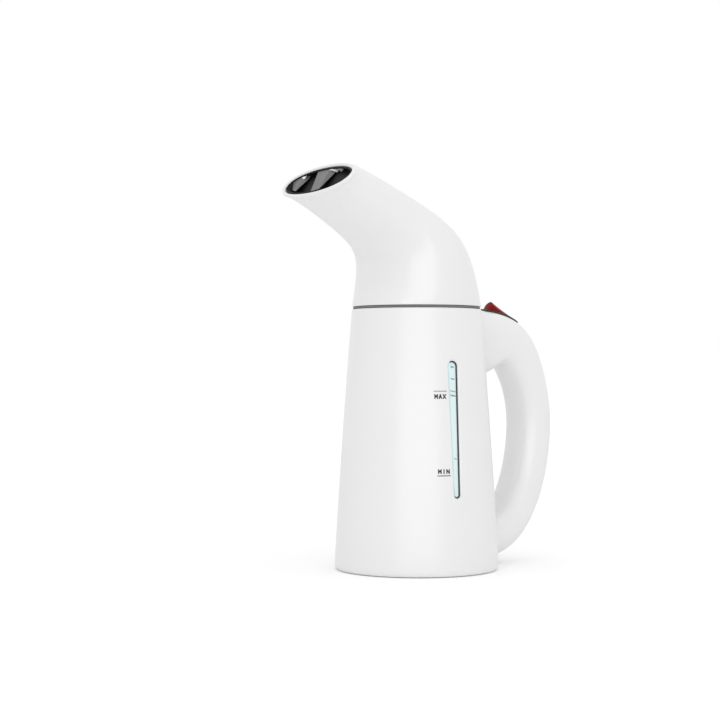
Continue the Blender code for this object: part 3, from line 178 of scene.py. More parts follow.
# Handle, as in the CAD model, with a thicker finger side at its upper root and a shorter strip
FINGER_GAP = 0.0290
HANDLE_TOP_DROP = 0.0108
HANDLE_TOP_HEIGHT = CASING_TOP - HANDLE_TOP_DROP
HANDLE_FOOT_HEIGHT = 0.0140
HANDLE_REACH_SHARES = (-0.079, 0.27, 0.617, 0.866, 1.0, 0.943, 0.659, 0.352, -0.052)
GRIP_RISE_SHARE = 0.597
HANDLE_RISE_SHARES = (1.0, 0.992, 0.949, 0.808, GRIP_RISE_SHARE, 0.368, 0.143, 0.045, 0.0)
HANDLE_HALF_DEPTH = 0.0116
HANDLE_FINGER_SIDE_SHARES = (2.12, 2.14, 1.60, 1.15, 1.0, 1.0, 1.0, 1.0, 1.0)
HANDLE_HALF_WIDTH = 0.0135
HANDLE_SECTION_POWER = 2.3
HANDLE_SIDES = 56
HANDLE_STEPS = 64
COVER_SHARES = (0.24, 0.88)
COVER_HALF_WIDTH = 0.0082
COVER_DEPTH = 0.0026
COVER_STEPS = 48

# Rocker, as in the CAD model, with the well and the frame round it
SWITCH_X = 0.0585
SWITCH_DROP = 0.0022
SWITCH_Z = HANDLE_TOP_HEIGHT + HANDLE_HALF_DEPTH - SWITCH_DROP
SWITCH_SLOPE = 15.2
WELL_HALF_LENGTH = 0.0127
WELL_HALF_WIDTH = 0.0053
WELL_DEPTH = 0.0115
ROCKER_HALF_LENGTH = 0.0088
ROCKER_HALF_WIDTH = 0.0036
ROCKER_TOP = 0.0036
ROCKER_DISH = 0.0003
ROCKER_CROWN = 0.0024
ROCKER_BOTTOM = 0.0050
ROCKER_PIVOT_DEPTH = 0.0030
ROCKER_TILT = 14.8
ROCKER_STEPS = 16
ROCKER_ARCH_STEPS = 14
ROCKER_EDGE_ROUND = 0.0006
# The rocker's colour fades to black between these two distances past its middle: painted shade where
# it sinks into its frame.
ROCKER_PAINTED_SHADE_START = 0.0028
ROCKER_PAINTED_SHADE_END = 0.0050
FRAME_HALF_LENGTH = 0.0124
FRAME_HALF_WIDTH = 0.0050
FRAME_WALL = 0.0010
FRAME_DEPTH = 0.0099
FRAME_CAVITY_DEPTH = 0.0080
FRAME_PROUD = 0.0011
FRAME_EDGE_ROUND = 0.00015
FRAME_EDGE_SEGMENTS = 2

# Printed level marks on the jug: azimuth, heights over the table and sizes
UPPER_MARK_AZIMUTH = -107.2
UPPER_LINE_HEIGHT = 0.1012
UPPER_LINE_LENGTH = 0.0076
UPPER_WORD_HEIGHT = 0.0983
UPPER_LETTER_HEIGHT = 0.0020
LOWER_MARK_AZIMUTH = -105.7
LOWER_LINE_HEIGHT = 0.0552
LOWER_LINE_LENGTH = 0.0078
LOWER_WORD_HEIGHT = 0.0575
LOWER_LETTER_HEIGHT = 0.0019
WORD_WIDTH = 0.0062
LINE_THICKNESS = 0.0005
LINE_STEPS = 10

# Letters of the marks: the strokes of each run between points of a unit cell, (across, up)
LETTER_STROKE = 0.00062
LETTER_SPACE = 0.00095
LETTER_STROKES = {
    "M": (
        ((0.0, 0.0), (0.0, 1.0)),
        ((0.0, 1.0), (0.5, 0.4)),
        ((0.5, 0.4), (1.0, 1.0)),
        ((1.0, 0.0), (1.0, 1.0)),
    ),
    "A": (((0.0, 0.0), (0.5, 1.0)), ((0.5, 1.0), (1.0, 0.0)), ((0.2, 0.3), (0.8, 0.3))),
    "X": (((0.0, 0.0), (1.0, 1.0)), ((0.0, 1.0), (1.0, 0.0))),
    "I": (((0.5, 0.0), (0.5, 1.0)),),
    "N": (((0.0, 0.0), (0.0, 1.0)), ((0.0, 1.0), (1.0, 0.0)), ((1.0, 0.0), (1.0, 1.0))),
}

# Photograph's camera
CAMERA_YAW = 34.0
CAMERA_DISTANCE = 0.950
CAMERA_SIDE = 0.0321
CAMERA_HEIGHT = 0.1133
CAMERA_LENS = 83.6
CAMERA_SHIFT = 0.0125

# Lamps: azimuth, elevation, distance, width and height of the face, and the face's radiance
FRONT_LAMP = (237.0, 5.0, 1.6, 1.9, 0.45, 1.4)
TOP_LAMP = (240.0, 80.0, 1.2, 1.0, 1.0, 0.55)
LAMP_AIM_HEIGHT = 0.11

# Surroundings: the level that lights the scene and the level that the camera sees. The floor
# glows to the camera alone, by a level that grows between two distances from the middle.
AMBIENT_LEVEL = 0.84
SEEN_LEVEL = 1.0
FLOOR_REACH = 12.0
FLOOR_SHADE = 0.96
FLOOR_ROUGHNESS = 0.9
FLOOR_GLOWS = (0.12, 0.22)
FLOOR_GLOW_DISTANCES = (0.3, 1.2)

# Surfaces: scales of the slow drift and of the fine grain, and the height of the grain's relief.
# The ink's drift is the ratio between its two shades.
OPAQUE = 1.0
NOISE_DETAIL = 3.0
DRIFT_SCALE = 28.0
ROCKER_DRIFT_SCALE = 160.0
GRAIN_SCALE = 900.0
CAST_GRAIN_SCALE = 500.0
GRAIN_RELIEF = 0.00002
SATIN_RELIEF = 0.000004
CAST_RELIEF = 0.00006
BUMP_STRENGTH = 0.5
INK_DRIFT = 1.4


def casing_radius(height):
    """Outer radius of the casing at a height over the table."""
    share = (height - CASING_BOTTOM) / (CASING_TOP - CASING_BOTTOM)
    straight = CASING_BASE_RADIUS + (CASING_TOP_RADIUS - CASING_BASE_RADIUS) * share
    return straight + CASING_BELLY * 4.0 * share * (1.0 - share)


def casing_bore(height):
    """Inner radius of the casing, which follows the CAD model's bore."""
    share = (height - CASING_BOTTOM) / (CASING_TOP - CASING_BOTTOM)
    return casing_radius(height) + CASING_TOP_TRIM * share - CASING_WALL


def spaced(start, end, steps):
    """Evenly spaced values from start to end, both included."""
    return [start + (end - start) * index / steps for index in range(steps + 1)]


def smooth_curve(knots, rows, samples):
    """A natural cubic curve through rows of values at the knots, read at each sample."""
    knots = np.asarray(knots, dtype=float)
    rows = np.asarray(rows, dtype=float)
    steps = np.diff(knots)
    slopes = np.diff(rows, axis=0) / steps[:, None]
    count = len(knots)
    system = np.eye(count)
    changes = np.zeros_like(rows)
    for index in range(1, count - 1):
        before, after = steps[index - 1], steps[index]
        system[index, index - 1 : index + 2] = (before, 2.0 * (before + after), after)
        changes[index] = 6.0 * (slopes[index] - slopes[index - 1])
    bends = np.linalg.solve(system, changes)
    values = []
    for sample in samples:
        index = min(max(int(np.searchsorted(knots, sample)) - 1, 0), count - 2)
        step = steps[index]
        left = (knots[index + 1] - sample) / step
        right = 1.0 - left
        bend = (left**3 - left) * bends[index] + (right**3 - right) * bends[index + 1]
        values.append(left * rows[index] + right * rows[index + 1] + bend * step**2 / 6.0)
    return np.array(values)


def signed_power(value, power):
    """A power that keeps the sign of its base."""
    return math.copysign(abs(value) ** power, value)


def oval(half_depth, half_width, power, sides):
    """Points of a superellipse: (along the depth, along the width)."""
    points = []
    for index in range(sides):
        angle = 2.0 * math.pi * index / sides
        along = half_depth * signed_power(math.sin(angle), 2.0 / power)
        across = half_width * signed_power(math.cos(angle), 2.0 / power)
        points.append((along, across))
    return points


def add_loft(shape, rings, closed=False):
    """Faces between rings of equally many points, with end caps unless the rings close."""
    rows = [[shape.verts.new(point) for point in ring] for ring in rings]
    pairs = list(zip(rows[:-1], rows[1:]))
    if closed:
        pairs.append((rows[-1], rows[0]))
    for low, high in pairs:
        for index in range(len(low)):
            following = (index + 1) % len(low)
            shape.faces.new((low[index], low[following], high[following], high[index]))
    if not closed:
        shape.faces.new(rows[0])
        shape.faces.new(rows[-1])


def turned_rings(profile):
    """Rings about the jug's axis for a profile of (radius, height)."""
    rings = []
    for radius, height in profile:
        ring = []
        for index in range(CASING_SIDES):
            angle = 2.0 * math.pi * index / CASING_SIDES
            ring.append((AXIS_X + radius * math.cos(angle), radius * math.sin(angle), height))
        rings.append(ring)
    return rings


def mesh_object(name, fill_mesh):
    """An object in the scene whose mesh the given function fills in."""
    mesh = bpy.data.meshes.new(name)
    shape = bmesh.new()
    fill_mesh(shape)
    bmesh.ops.recalc_face_normals(shape, faces=shape.faces)
    shape.to_mesh(mesh)
    shape.free()
    item = bpy.data.objects.new(name, mesh)
    bpy.context.scene.collection.objects.link(item)
    return item


def loft(name, rings, closed=False):
    """An object lofted through rings of points."""
    return mesh_object(name, lambda shape: add_loft(shape, rings, closed))


def block(name, low, high, matrix):
    """A box between two corners, placed by a matrix."""
    size = Vector(high) - Vector(low)
    middle = Matrix.Translation((Vector(high) + Vector(low)) / 2.0)
    place = matrix @ middle @ Matrix.Diagonal((*size, 1.0))
    return mesh_object(name, lambda shape: bmesh.ops.create_cube(shape, size=1.0, matrix=place))


def bake(item):
    """Give an object the mesh that its modifiers make."""
    bpy.context.view_layer.update()
    graph = bpy.context.evaluated_depsgraph_get()
    mesh = bpy.data.meshes.new_from_object(item.evaluated_get(graph))
    item.modifiers.clear()
    item.data = mesh
    mesh.name = item.name
    return item


def carve(item, *steps):
    """Cut or intersect an object with tools, which are then removed."""
    for operation, tool in steps:
        modifier = item.modifiers.new(tool.name, "BOOLEAN")
        modifier.operation = operation
        modifier.solver = "EXACT"
        modifier.object = tool
    bake(item)
    for _, tool in steps:
        bpy.data.objects.remove(tool, do_unlink=True)


def round_edges(item, width, segments=ROUND_SEGMENTS):
    """Round the edges that are sharper than the flat angle."""
    bevel = item.modifiers.new("Round", "BEVEL")
    bevel.width = width
    bevel.segments = segments
    bevel.limit_method = "ANGLE"
    bevel.angle_limit = math.radians(FLAT_ANGLE)
    return bake(item)


def finish_piece(item, material, body, replaced=()):
    """Shade a piece, give it its material and body, and hide the CAD nodes it stands for."""
    item.data.shade_smooth()
    item.data.set_sharp_from_angle(angle=math.radians(FLAT_ANGLE))
    item.data.materials.clear()
    item.data.materials.append(material)
    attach(item, body)
    if replaced:
        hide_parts(*replaced)


def node_tree(name):
    """A new material, its node tree and its shader."""
    material = bpy.data.materials.new(name)
    material.use_nodes = True
    return material, material.node_tree, material.node_tree.nodes["Principled BSDF"]


def add_noise(tree, scale):
    """Noise in object coordinates."""
    coordinates = tree.nodes.new("ShaderNodeTexCoord")
    noise = tree.nodes.new("ShaderNodeTexNoise")
    noise.inputs["Scale"].default_value = scale
    noise.inputs["Detail"].default_value = NOISE_DETAIL
    tree.links.new(coordinates.outputs["Object"], noise.inputs["Vector"])
    return noise.outputs["Fac"]


def add_range(tree, source, low, high, start=0.0, end=1.0):
    """Values from low to high while a source goes from start to end."""
    ranged = tree.nodes.new("ShaderNodeMapRange")
    ranged.inputs["From Min"].default_value = start
    ranged.inputs["From Max"].default_value = end
    ranged.inputs["To Min"].default_value = low
    ranged.inputs["To Max"].default_value = high
    tree.links.new(source, ranged.inputs["Value"])
    return ranged.outputs["Result"]


def add_tint(tree, source, first, second):
    """A colour between two, driven by a texture."""
    mix = tree.nodes.new("ShaderNodeMix")
    mix.data_type = "RGBA"
    mix.inputs["A"].default_value = (*first, OPAQUE)
    mix.inputs["B"].default_value = (*second, OPAQUE)
    tree.links.new(source, mix.inputs["Factor"])
    return mix.outputs["Result"]


def add_bump(tree, shader, source, height):
    """Relief on a shader from a texture."""
    bump = tree.nodes.new("ShaderNodeBump")
    bump.inputs["Strength"].default_value = BUMP_STRENGTH
    bump.inputs["Distance"].default_value = height
    tree.links.new(source, bump.inputs["Height"])
    tree.links.new(bump.outputs["Normal"], shader.inputs["Normal"])


def grey(level):
    """An even grey."""
    return (level, level, level)


def set_shader(material, name, value):
    """Set one value of a material's shader."""
    material.node_tree.nodes["Principled BSDF"].inputs[name].default_value = value


def moulded(
    name, shades, roughness, metallic=0.0, drift=DRIFT_SCALE, grain=GRAIN_SCALE, relief=GRAIN_RELIEF
):
    """Moulded or cast surface: slow drift between two shades, uneven gloss and fine grain."""
    material, tree, shader = node_tree(name)
    slow = add_noise(tree, drift)
    fine = add_noise(tree, grain)
    tree.links.new(add_tint(tree, slow, *shades), shader.inputs["Base Color"])
    tree.links.new(add_range(tree, fine, *roughness), shader.inputs["Roughness"])
    shader.inputs["Metallic"].default_value = metallic
    add_bump(tree, shader, fine, relief)
    return material


def white_plastic():
    """Satin white moulded plastic."""
    shades = (grey(0.82), grey(0.85))
    material = moulded("satin_white", shades, roughness=(0.26, 0.32), relief=SATIN_RELIEF)
    set_shader(material, "Specular IOR Level", 1.0)
    return material


def aqua_plastic():
    """Pale aqua plastic of the tank."""
    shades = ((0.50, 0.78, 0.80), (0.62, 0.85, 0.86))
    return moulded("pale_aqua", shades, roughness=(0.20, 0.35))


def pane_plastic():
    """Clear plastic of the window, milky aqua against the tank behind it."""
    shades = ((0.80, 0.97, 0.97), (0.88, 0.99, 0.99))
    material = moulded("milky_aqua", shades, roughness=(0.08, 0.16))
    set_shader(material, "Transmission Weight", 0.10)
    return material


def tick_plastic():
    """Grey-teal tint of the ticks on the pane."""
    shades = ((0.20, 0.33, 0.33), (0.34, 0.48, 0.47))
    return moulded("teal_grey", shades, roughness=(0.20, 0.35))


def black_plastic():
    """Glossy black plastic."""
    shades = ((0.010, 0.010, 0.011), (0.018, 0.018, 0.020))
    return moulded("gloss_black", shades, roughness=(0.10, 0.22))


def matt_black():
    """Matt black plastic inside the mouth."""
    shades = (grey(0.006), grey(0.012))
    material = moulded("matt_black", shades, roughness=(0.50, 0.65))
    set_shader(material, "Specular IOR Level", 0.15)
    return material


def fin_plastic():
    """Grey plastic of the vent's fins."""
    shades = ((0.095, 0.095, 0.098), (0.165, 0.165, 0.168))
    return moulded("fin_grey", shades, roughness=(0.30, 0.45))


def red_plastic():
    """Glossy deep red plastic."""
    shades = ((0.20, 0.004, 0.006), (0.30, 0.010, 0.010))
    return moulded("deep_red", shades, roughness=(0.12, 0.20))


def paint_shade_at_outer_end(material):
    """Paint shade on a material: fade its colour to black towards the rocker's outer end, where the
    rocker sinks into its frame.
    """
    tree = material.node_tree
    colour = tree.nodes["Principled BSDF"].inputs["Base Color"]
    plain = colour.links[0].from_socket
    place = tree.nodes.new("ShaderNodeTexCoord")
    axes = tree.nodes.new("ShaderNodeSeparateXYZ")
    tree.links.new(place.outputs["Object"], axes.inputs["Vector"])
    middle = AXIS_X + SWITCH_X
    fade = (middle + ROCKER_PAINTED_SHADE_START, middle + ROCKER_PAINTED_SHADE_END)
    black = (0.008, 0.006, 0.007)
    shaded_colour = add_tint(tree, add_range(tree, axes.outputs["X"], 0.0, 1.0, *fade), black, black)
    tree.links.new(plain, shaded_colour.node.inputs["A"])
    tree.links.new(shaded_colour, colour)


def rocker_plastic():
    """Glossy deep red plastic, with painted shade that darkens it to black towards the rocker's outer
    end.
    """
    shades = ((0.12, 0.001, 0.002), (0.34, 0.010, 0.010))
    material = moulded("deep_red_rocker", shades, roughness=(0.14, 0.22), drift=ROCKER_DRIFT_SCALE)
    set_shader(material, "Specular IOR Level", 0.08)
    paint_shade_at_outer_end(material)
    return material


def grey_rubber():
    """Soft dark grey rubber."""
    shades = ((0.075, 0.077, 0.080), (0.110, 0.110, 0.115))
    return moulded("dark_rubber", shades, roughness=(0.60, 0.80))


def seam_rubber():
    """Soft mid grey rubber of the seam's ring."""
    shades = ((0.150, 0.152, 0.155), (0.190, 0.192, 0.195))
    return moulded("mid_rubber", shades, roughness=(0.60, 0.80))


def print_ink(name, level):
    """Matt print of the level marks, with a little unevenness."""
    shades = (grey(level), grey(INK_DRIFT * level))
    return moulded(name, shades, roughness=(0.50, 0.70))


def seal_rubber():
    """Dark blue-grey rubber round the window, used on its side towards the handle as painted shade."""
    shades = ((0.012, 0.024, 0.034), (0.030, 0.045, 0.056))
    return moulded("seal_rubber", shades, roughness=(0.25, 0.40))


def cast_metal():
    """Cast aluminium of the heater."""
    shades = ((0.52, 0.53, 0.54), (0.66, 0.66, 0.67))
    return moulded(
        "cast_metal",
        shades,
        roughness=(0.35, 0.60),
        metallic=1.0,
        grain=CAST_GRAIN_SCALE,
        relief=CAST_RELIEF,
    )


def plated_steel():
    """Bright plated steel."""
    shades = ((0.55, 0.55, 0.56), (0.66, 0.66, 0.66))
    return moulded("plated_steel", shades, roughness=(0.18, 0.32), metallic=1.0)


def brass():
    """Plain brass of the terminals."""
    shades = ((0.62, 0.45, 0.18), (0.76, 0.57, 0.26))
    return moulded("plain_brass", shades, roughness=(0.22, 0.38), metallic=1.0)


def dress_nodes(looks):
    """Give every CAD node the material of its slot."""
    for row in frame["record"]["subparts"]:
        for place in nodes[row["node"]].material_slots:
            place.material = looks[row["material_slot"]]


def window_matrix():
    """Frame of the window: x runs across it, y into the jug and z up its slope."""
    middle = (WINDOW_TOP + WINDOW_BOTTOM) / 2.0
    fall = casing_radius(WINDOW_BOTTOM) - casing_radius(WINDOW_TOP)
    lean = math.atan(fall / (WINDOW_TOP - WINDOW_BOTTOM))
    azimuth = math.radians(-TURN / 4.0 - WINDOW_SWING)
    radius = casing_radius(middle)
    spot = Vector((AXIS_X + radius * math.cos(azimuth), radius * math.sin(azimuth), middle))
    swing = Matrix.Rotation(math.radians(-WINDOW_SWING), 4, "Z")
    return Matrix.Translation(spot) @ swing @ Matrix.Rotation(-lean, 4, "X")


def window_ring(matrix, offset, depth):
    """The tapered slot's outline with round ends, grown by an offset, at a depth."""
    half_height = (WINDOW_TOP - WINDOW_BOTTOM) / 2.0
    ends = (
        (half_height - WINDOW_TOP_HALF_WIDTH, WINDOW_TOP_HALF_WIDTH, 0.0),
        (WINDOW_BOTTOM_HALF_WIDTH - half_height, WINDOW_BOTTOM_HALF_WIDTH, TURN / 2.0),
    )
    ring = []
    for middle, radius, first in ends:
        reach = radius + offset
        for angle in spaced(first, first + TURN / 2.0, WINDOW_ARC_STEPS):
            turn = math.radians(angle)
            point = (reach * math.cos(turn), depth, middle + reach * math.sin(turn))
            ring.append(matrix @ Vector(point))
    return ring


def casing_profile():
    """Closed outline of the casing's wall: down its outer side, round the corner, up the bore."""
    bottom = CASING_BOTTOM - CASING_DROP
    shoulder = CASING_TOP - CASING_TOP_ROUND
    corner = bottom + CASING_CORNER_HEIGHT
    profile = [(casing_radius(CASING_TOP) - CASING_TOP_ROUND, CASING_TOP)]
    profile += [(casing_radius(height), height) for height in spaced(shoulder, corner, CASING_STEPS)]
    for angle in spaced(0.0, TURN / 4.0, CASING_CORNER_STEPS)[1:]:
        turn = math.radians(angle)
        radius = casing_radius(corner) - CASING_CORNER_WIDTH * (1.0 - math.cos(turn))
        profile.append((radius, corner - CASING_CORNER_HEIGHT * math.sin(turn)))
    for height in spaced(bottom, CASING_TOP, CASING_STEPS):
        profile.append((casing_bore(height), height))
    return profile


def gland_hole():
    """The round hole through the casing's wall for the grommet."""
    swing = Matrix.Rotation(math.radians(GLAND_AZIMUTH), 4, "Z")
    matrix = Matrix.Translation((AXIS_X, 0.0, GLAND_HEIGHT)) @ swing
    middle = casing_radius(GLAND_HEIGHT)
    radius = GLAND_NECK_RADIUS + GAP
    circle = oval(radius, radius, 2.0, GLAND_SIDES)
    rings = []
    for along in (middle - CASING_WALL - OVERRUN, middle + OVERRUN):
        rings.append([matrix @ Vector((along, across, up)) for across, up in circle])
    return loft("gland_hole", rings)


def make_casing(looks):
    """The jug's skin, with the slot of the window and the hole of the grommet."""
    casing = loft("casing_skin", turned_rings(casing_profile()), closed=True)
    matrix = window_matrix()
    slot = [
        window_ring(matrix, WINDOW_CHAMFER + OVERRUN, -OVERRUN),
        window_ring(matrix, 0.0, WINDOW_CHAMFER),
        window_ring(matrix, 0.0, CASING_WALL + OVERRUN),
    ]
    carve(casing, ("DIFFERENCE", loft("window_slot", slot)), ("DIFFERENCE", gland_hole()))
    finish_piece(casing, looks["white_shell"], "jug", ["casing"])


def pane_back():
    """Depth at which the pane's flange clears the casing's curved bore."""
    flange_reach = WINDOW_TOP_HALF_WIDTH + WINDOW_FLANGE
    bore = casing_radius(WINDOW_TOP) - CASING_WALL
    return CASING_WALL + flange_reach**2 / (2.0 * bore) + CASING_BELLY + GAP


def make_window_seal(looks):
    """The seal that lines the window's slot: a dark side, painted shade on the slot's wall towards the
    handle, and an aqua side.
    """
    matrix = window_matrix()
    outer = -HAIRLINE
    inner = outer - WINDOW_SEAL_WIDTH
    back = pane_back() - GAP
    seal = [
        window_ring(matrix, outer, WINDOW_SEAL_DEPTH),
        window_ring(matrix, outer, back),
        window_ring(matrix, inner, back),
        window_ring(matrix, inner, WINDOW_SEAL_DEPTH),
    ]
    reach = WINDOW_TOP - WINDOW_BOTTOM
    # The part of the seal past this line is dark as painted shade on the slot's wall; the rest is
    # aqua.
    painted_shade_side = ((WINDOW_PAINTED_SHADE_EDGE, -reach, -reach), (reach, reach, reach), matrix)
    trim = loft("window_seal_painted_shade", seal, closed=True)
    carve(trim, ("INTERSECT", block("painted_shade_side", *painted_shade_side)))
    finish_piece(trim, looks["seal"], "jug", ["window_seal"])
    edge = loft("window_edge", seal, closed=True)
    carve(edge, ("DIFFERENCE", block("painted_shade_side", *painted_shade_side)))
    finish_piece(edge, looks["tank_plastic"], "jug")


def make_window_pane(looks):
    """The crowned pane, with the flange behind the casing's wall."""
    matrix = window_matrix()
    side = -WINDOW_SEAL_WIDTH - 2.0 * HAIRLINE
    back = pane_back()
    crown = WINDOW_PANE_DEPTH - WINDOW_PANE_CROWN
    pane = [
        window_ring(matrix, side - WINDOW_BOTTOM_HALF_WIDTH / 2.0, crown),
        window_ring(matrix, side, WINDOW_PANE_DEPTH),
        window_ring(matrix, side, back),
        window_ring(matrix, WINDOW_FLANGE, back),
        window_ring(matrix, WINDOW_FLANGE, back + WINDOW_THICKNESS),
    ]
    glass = loft("window_pane", pane)
    finish_piece(glass, looks["clear_window"], "jug", ["water_window"])


def make_ticks(looks):
    """The slanted ticks on the pane's crown."""
    matrix = window_matrix()
    middle = (WINDOW_TOP + WINDOW_BOTTOM) / 2.0
    depth = WINDOW_PANE_DEPTH - WINDOW_PANE_CROWN
    for number, (height, reach, thickness) in enumerate(TICKS, 1):
        rings = []
        for share in spaced(-1.0, 1.0, TICK_STEPS):
            half = thickness / 2.0 * math.sqrt(max(1.0 - share**2, TICK_END_SHARE**2))
            corners = ((-half, 0.0), (0.0, -HAIRLINE), (half, 0.0), (0.0, HAIRLINE))
            up = height - middle + TICK_SLANT * share * reach
            spots = [(share * reach, depth + out, up + rise) for rise, out in corners]
            rings.append([matrix @ Vector(spot) for spot in spots])
        tick = loft(f"window_tick_{number}", rings)
        finish_piece(tick, looks["tick"], "jug")


def make_seam(looks):
    """The grey seal that shows as a dark line between the jug and the head."""
    low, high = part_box("head_seal")
    outer = HEAD_BASE_RADIUS - SEAM_RECESS
    inner = outer - SEAM_WIDTH
    profile = [(outer, high.z), (outer, low.z), (inner, low.z), (inner, high.z)]
    ring = loft("seam_ring", turned_rings(profile), closed=True)
    finish_piece(ring, looks["seam"], "turning_seal", ["head_seal"])


def head_station(share):
    """Centre x and z, tilt, half depth and half width of the head at a share of its spine."""
    rows = []
    stations = zip(
        HEAD_REACH_SHARES,
        HEAD_RISE_SHARES,
        HEAD_TILTS,
        HEAD_TAPER_SHARES,
        HEAD_BASE_WIDTH_SHARES,
        HEAD_MOUTH_WIDTH_SHARES,
    )
    for reach, rise, tilt, taper, base_share, mouth_share in stations:
        depth = HEAD_BASE_RADIUS + (MOUTH_HALF_DEPTH - HEAD_BASE_RADIUS) * taper
        width = HEAD_WAIST_HALF_WIDTH
        width += (HEAD_BASE_RADIUS - HEAD_WAIST_HALF_WIDTH) * base_share
        width += (MOUTH_HALF_WIDTH - HEAD_WAIST_HALF_WIDTH) * mouth_share
        spot = (AXIS_X - HEAD_SPINE_REACH * reach, HEAD_BOTTOM + HEAD_SPINE_RISE * rise)
        rows.append((*spot, tilt, depth, width))
    return smooth_curve(spaced(0.0, 1.0, len(rows) - 1), rows, [share])[0]


def head_ring(share, inset=0.0, rise=0.0):
    """One ring of the head, drawn in by the inset and lifted along its normal by the rise."""
    x, z, tilt, half_depth, half_width = head_station(share)
    turn = math.radians(tilt)
    forward = Vector((-math.cos(turn), 0.0, -math.sin(turn)))
    normal = Vector((-math.sin(turn), 0.0, math.cos(turn)))
    centre = Vector((x, 0.0, z)) + normal * rise
    section = oval(half_depth - inset, half_width - inset, HEAD_SECTION_POWER, HEAD_SIDES)
    return [centre + forward * along + Vector((0.0, across, 0.0)) for along, across in section]


def lip_rings(share, outer, inner, steps=LIP_STEPS):
    """Rings of a half-round lip between two insets."""
    radius = (inner - outer) / 2.0
    rings = []
    for step in range(1, steps + 1):
        turn = math.pi * step / (steps + 1)
        inset = outer + radius * (1.0 - math.cos(turn))
        rings.append(head_ring(share, inset, radius * math.sin(turn)))
    return rings


def make_head(looks):
    """The goose-neck shell with its round lip and its eased lower edge."""
    low = HEAD_EDGE_ROUND / HEAD_SPINE_RISE
    rings = [head_ring(low * up, HEAD_EDGE_ROUND * inset) for up, inset in HEAD_EDGE_SHARES]
    rings += [head_ring(share) for share in spaced(low, 1.0, HEAD_STEPS)]
    rings += lip_rings(1.0, 0.0, HEAD_WALL)
    rings += [head_ring(share, HEAD_WALL) for share in spaced(1.0, 0.0, HEAD_STEPS)]
    head = loft("head_skin", rings, closed=True)
    finish_piece(head, looks["white_shell"], "steam_head", ["head_shell"])


def cup_point(share, reach, across):
    """A point in the vent's cavity: reach -1 is on the brow's wall, 1 on the chin's."""
    x, z, tilt, half_depth, half_width = head_station(share)
    turn = math.radians(tilt)
    inset = HEAD_WALL + GAP + VENT_WALL
    side = min(abs(across) / (half_width - inset), 1.0)
    depth = (half_depth - inset) * (1.0 - side**HEAD_SECTION_POWER) ** (1.0 / HEAD_SECTION_POWER)
    forward = Vector((-math.cos(turn), 0.0, -math.sin(turn)))
    return Vector((x, across, z)) + forward * depth * reach


def make_fin(number, place, look):
    """A fin of the vent: a wedge whose root deepens along the brow's wall, open to the chin."""
    rings = []
    for share in spaced(0.0, 1.0, FIN_STEPS):
        rim_shift, root_shift, tip_shift = (
            min(place + start, FIN_LIMIT) * (1.0 - share) + (place + end) * share
            for start, end in (FIN_RIM_SHIFTS, FIN_ROOT_SHIFTS, FIN_TIP_SHIFTS)
        )
        root, edge, tip = (
            start + (end - start) * share
            for start, end in (FIN_ROOT_SHARES, FIN_EDGE_REACHES, FIN_TIP_SHARES)
        )
        rings.append([
            cup_point(FIN_RIM_SHARE, FIN_RIM_REACH, rim_shift),
            cup_point(root, -1.0, root_shift),
            cup_point(root, edge, root_shift),
            cup_point(tip, FIN_TIP_REACH, tip_shift),
        ])
    finish_piece(loft(f"vent_fin_{number}", rings), look, "steam_head")


def make_rib(number, places, end_share, look):
    """A rib that runs down the brow's wall and stands more proud the deeper it gets."""
    shallow, deep = RIB_PROUDS
    shares = spaced(FIN_RIM_SHARE, end_share, RIB_STEPS)
    rings = []
    for across, share in zip(spaced(*places, RIB_STEPS), shares):
        low = cup_point(share, -1.0, across - RIB_WIDTH / 2.0)
        high = cup_point(share, -1.0, across + RIB_WIDTH / 2.0)
        inward = (cup_point(share, 0.0, across) - cup_point(share, -1.0, across)).normalized()
        depth = (FIN_RIM_SHARE - share) / (FIN_RIM_SHARE - end_share)
        proud = inward * (shallow + (deep - shallow) * depth)
        rings.append([low, high, high + proud, low + proud])
    finish_piece(loft(f"vent_rib_{number}", rings), look, "steam_head")


def make_vent(looks):
    """The black cup in the mouth, with its fins and ribs."""
    skin = HEAD_WALL + HAIRLINE
    inner = HEAD_WALL + GAP + VENT_WALL
    up = spaced(VENT_FLOOR_SHARE, VENT_RIM_SHARE, VENT_STEPS)
    down = spaced(VENT_RIM_SHARE, VENT_CAVITY_SHARE, VENT_STEPS)
    rings = [head_ring(share, skin) for share in up]
    rings += lip_rings(VENT_RIM_SHARE, skin, inner, VENT_LIP_STEPS)
    rings += [head_ring(share, inner) for share in down]
    cup = loft("vent_cup", rings)
    finish_piece(cup, looks["matt_black"], "steam_head", ["outlet_vent"])
    for number, place in enumerate(FIN_PLACES, 1):
        make_fin(number, place, looks["fin"])
    # White ribs are painted glints, and the grey rib is painted shade.
    ribs = zip(RIB_PLACES, RIB_DEPTH_SHARES, RIB_GLINT_AND_SHADE_LOOKS)
    for number, (places, end_share, look) in enumerate(ribs, 1):
        make_rib(number, places, end_share, looks[look])


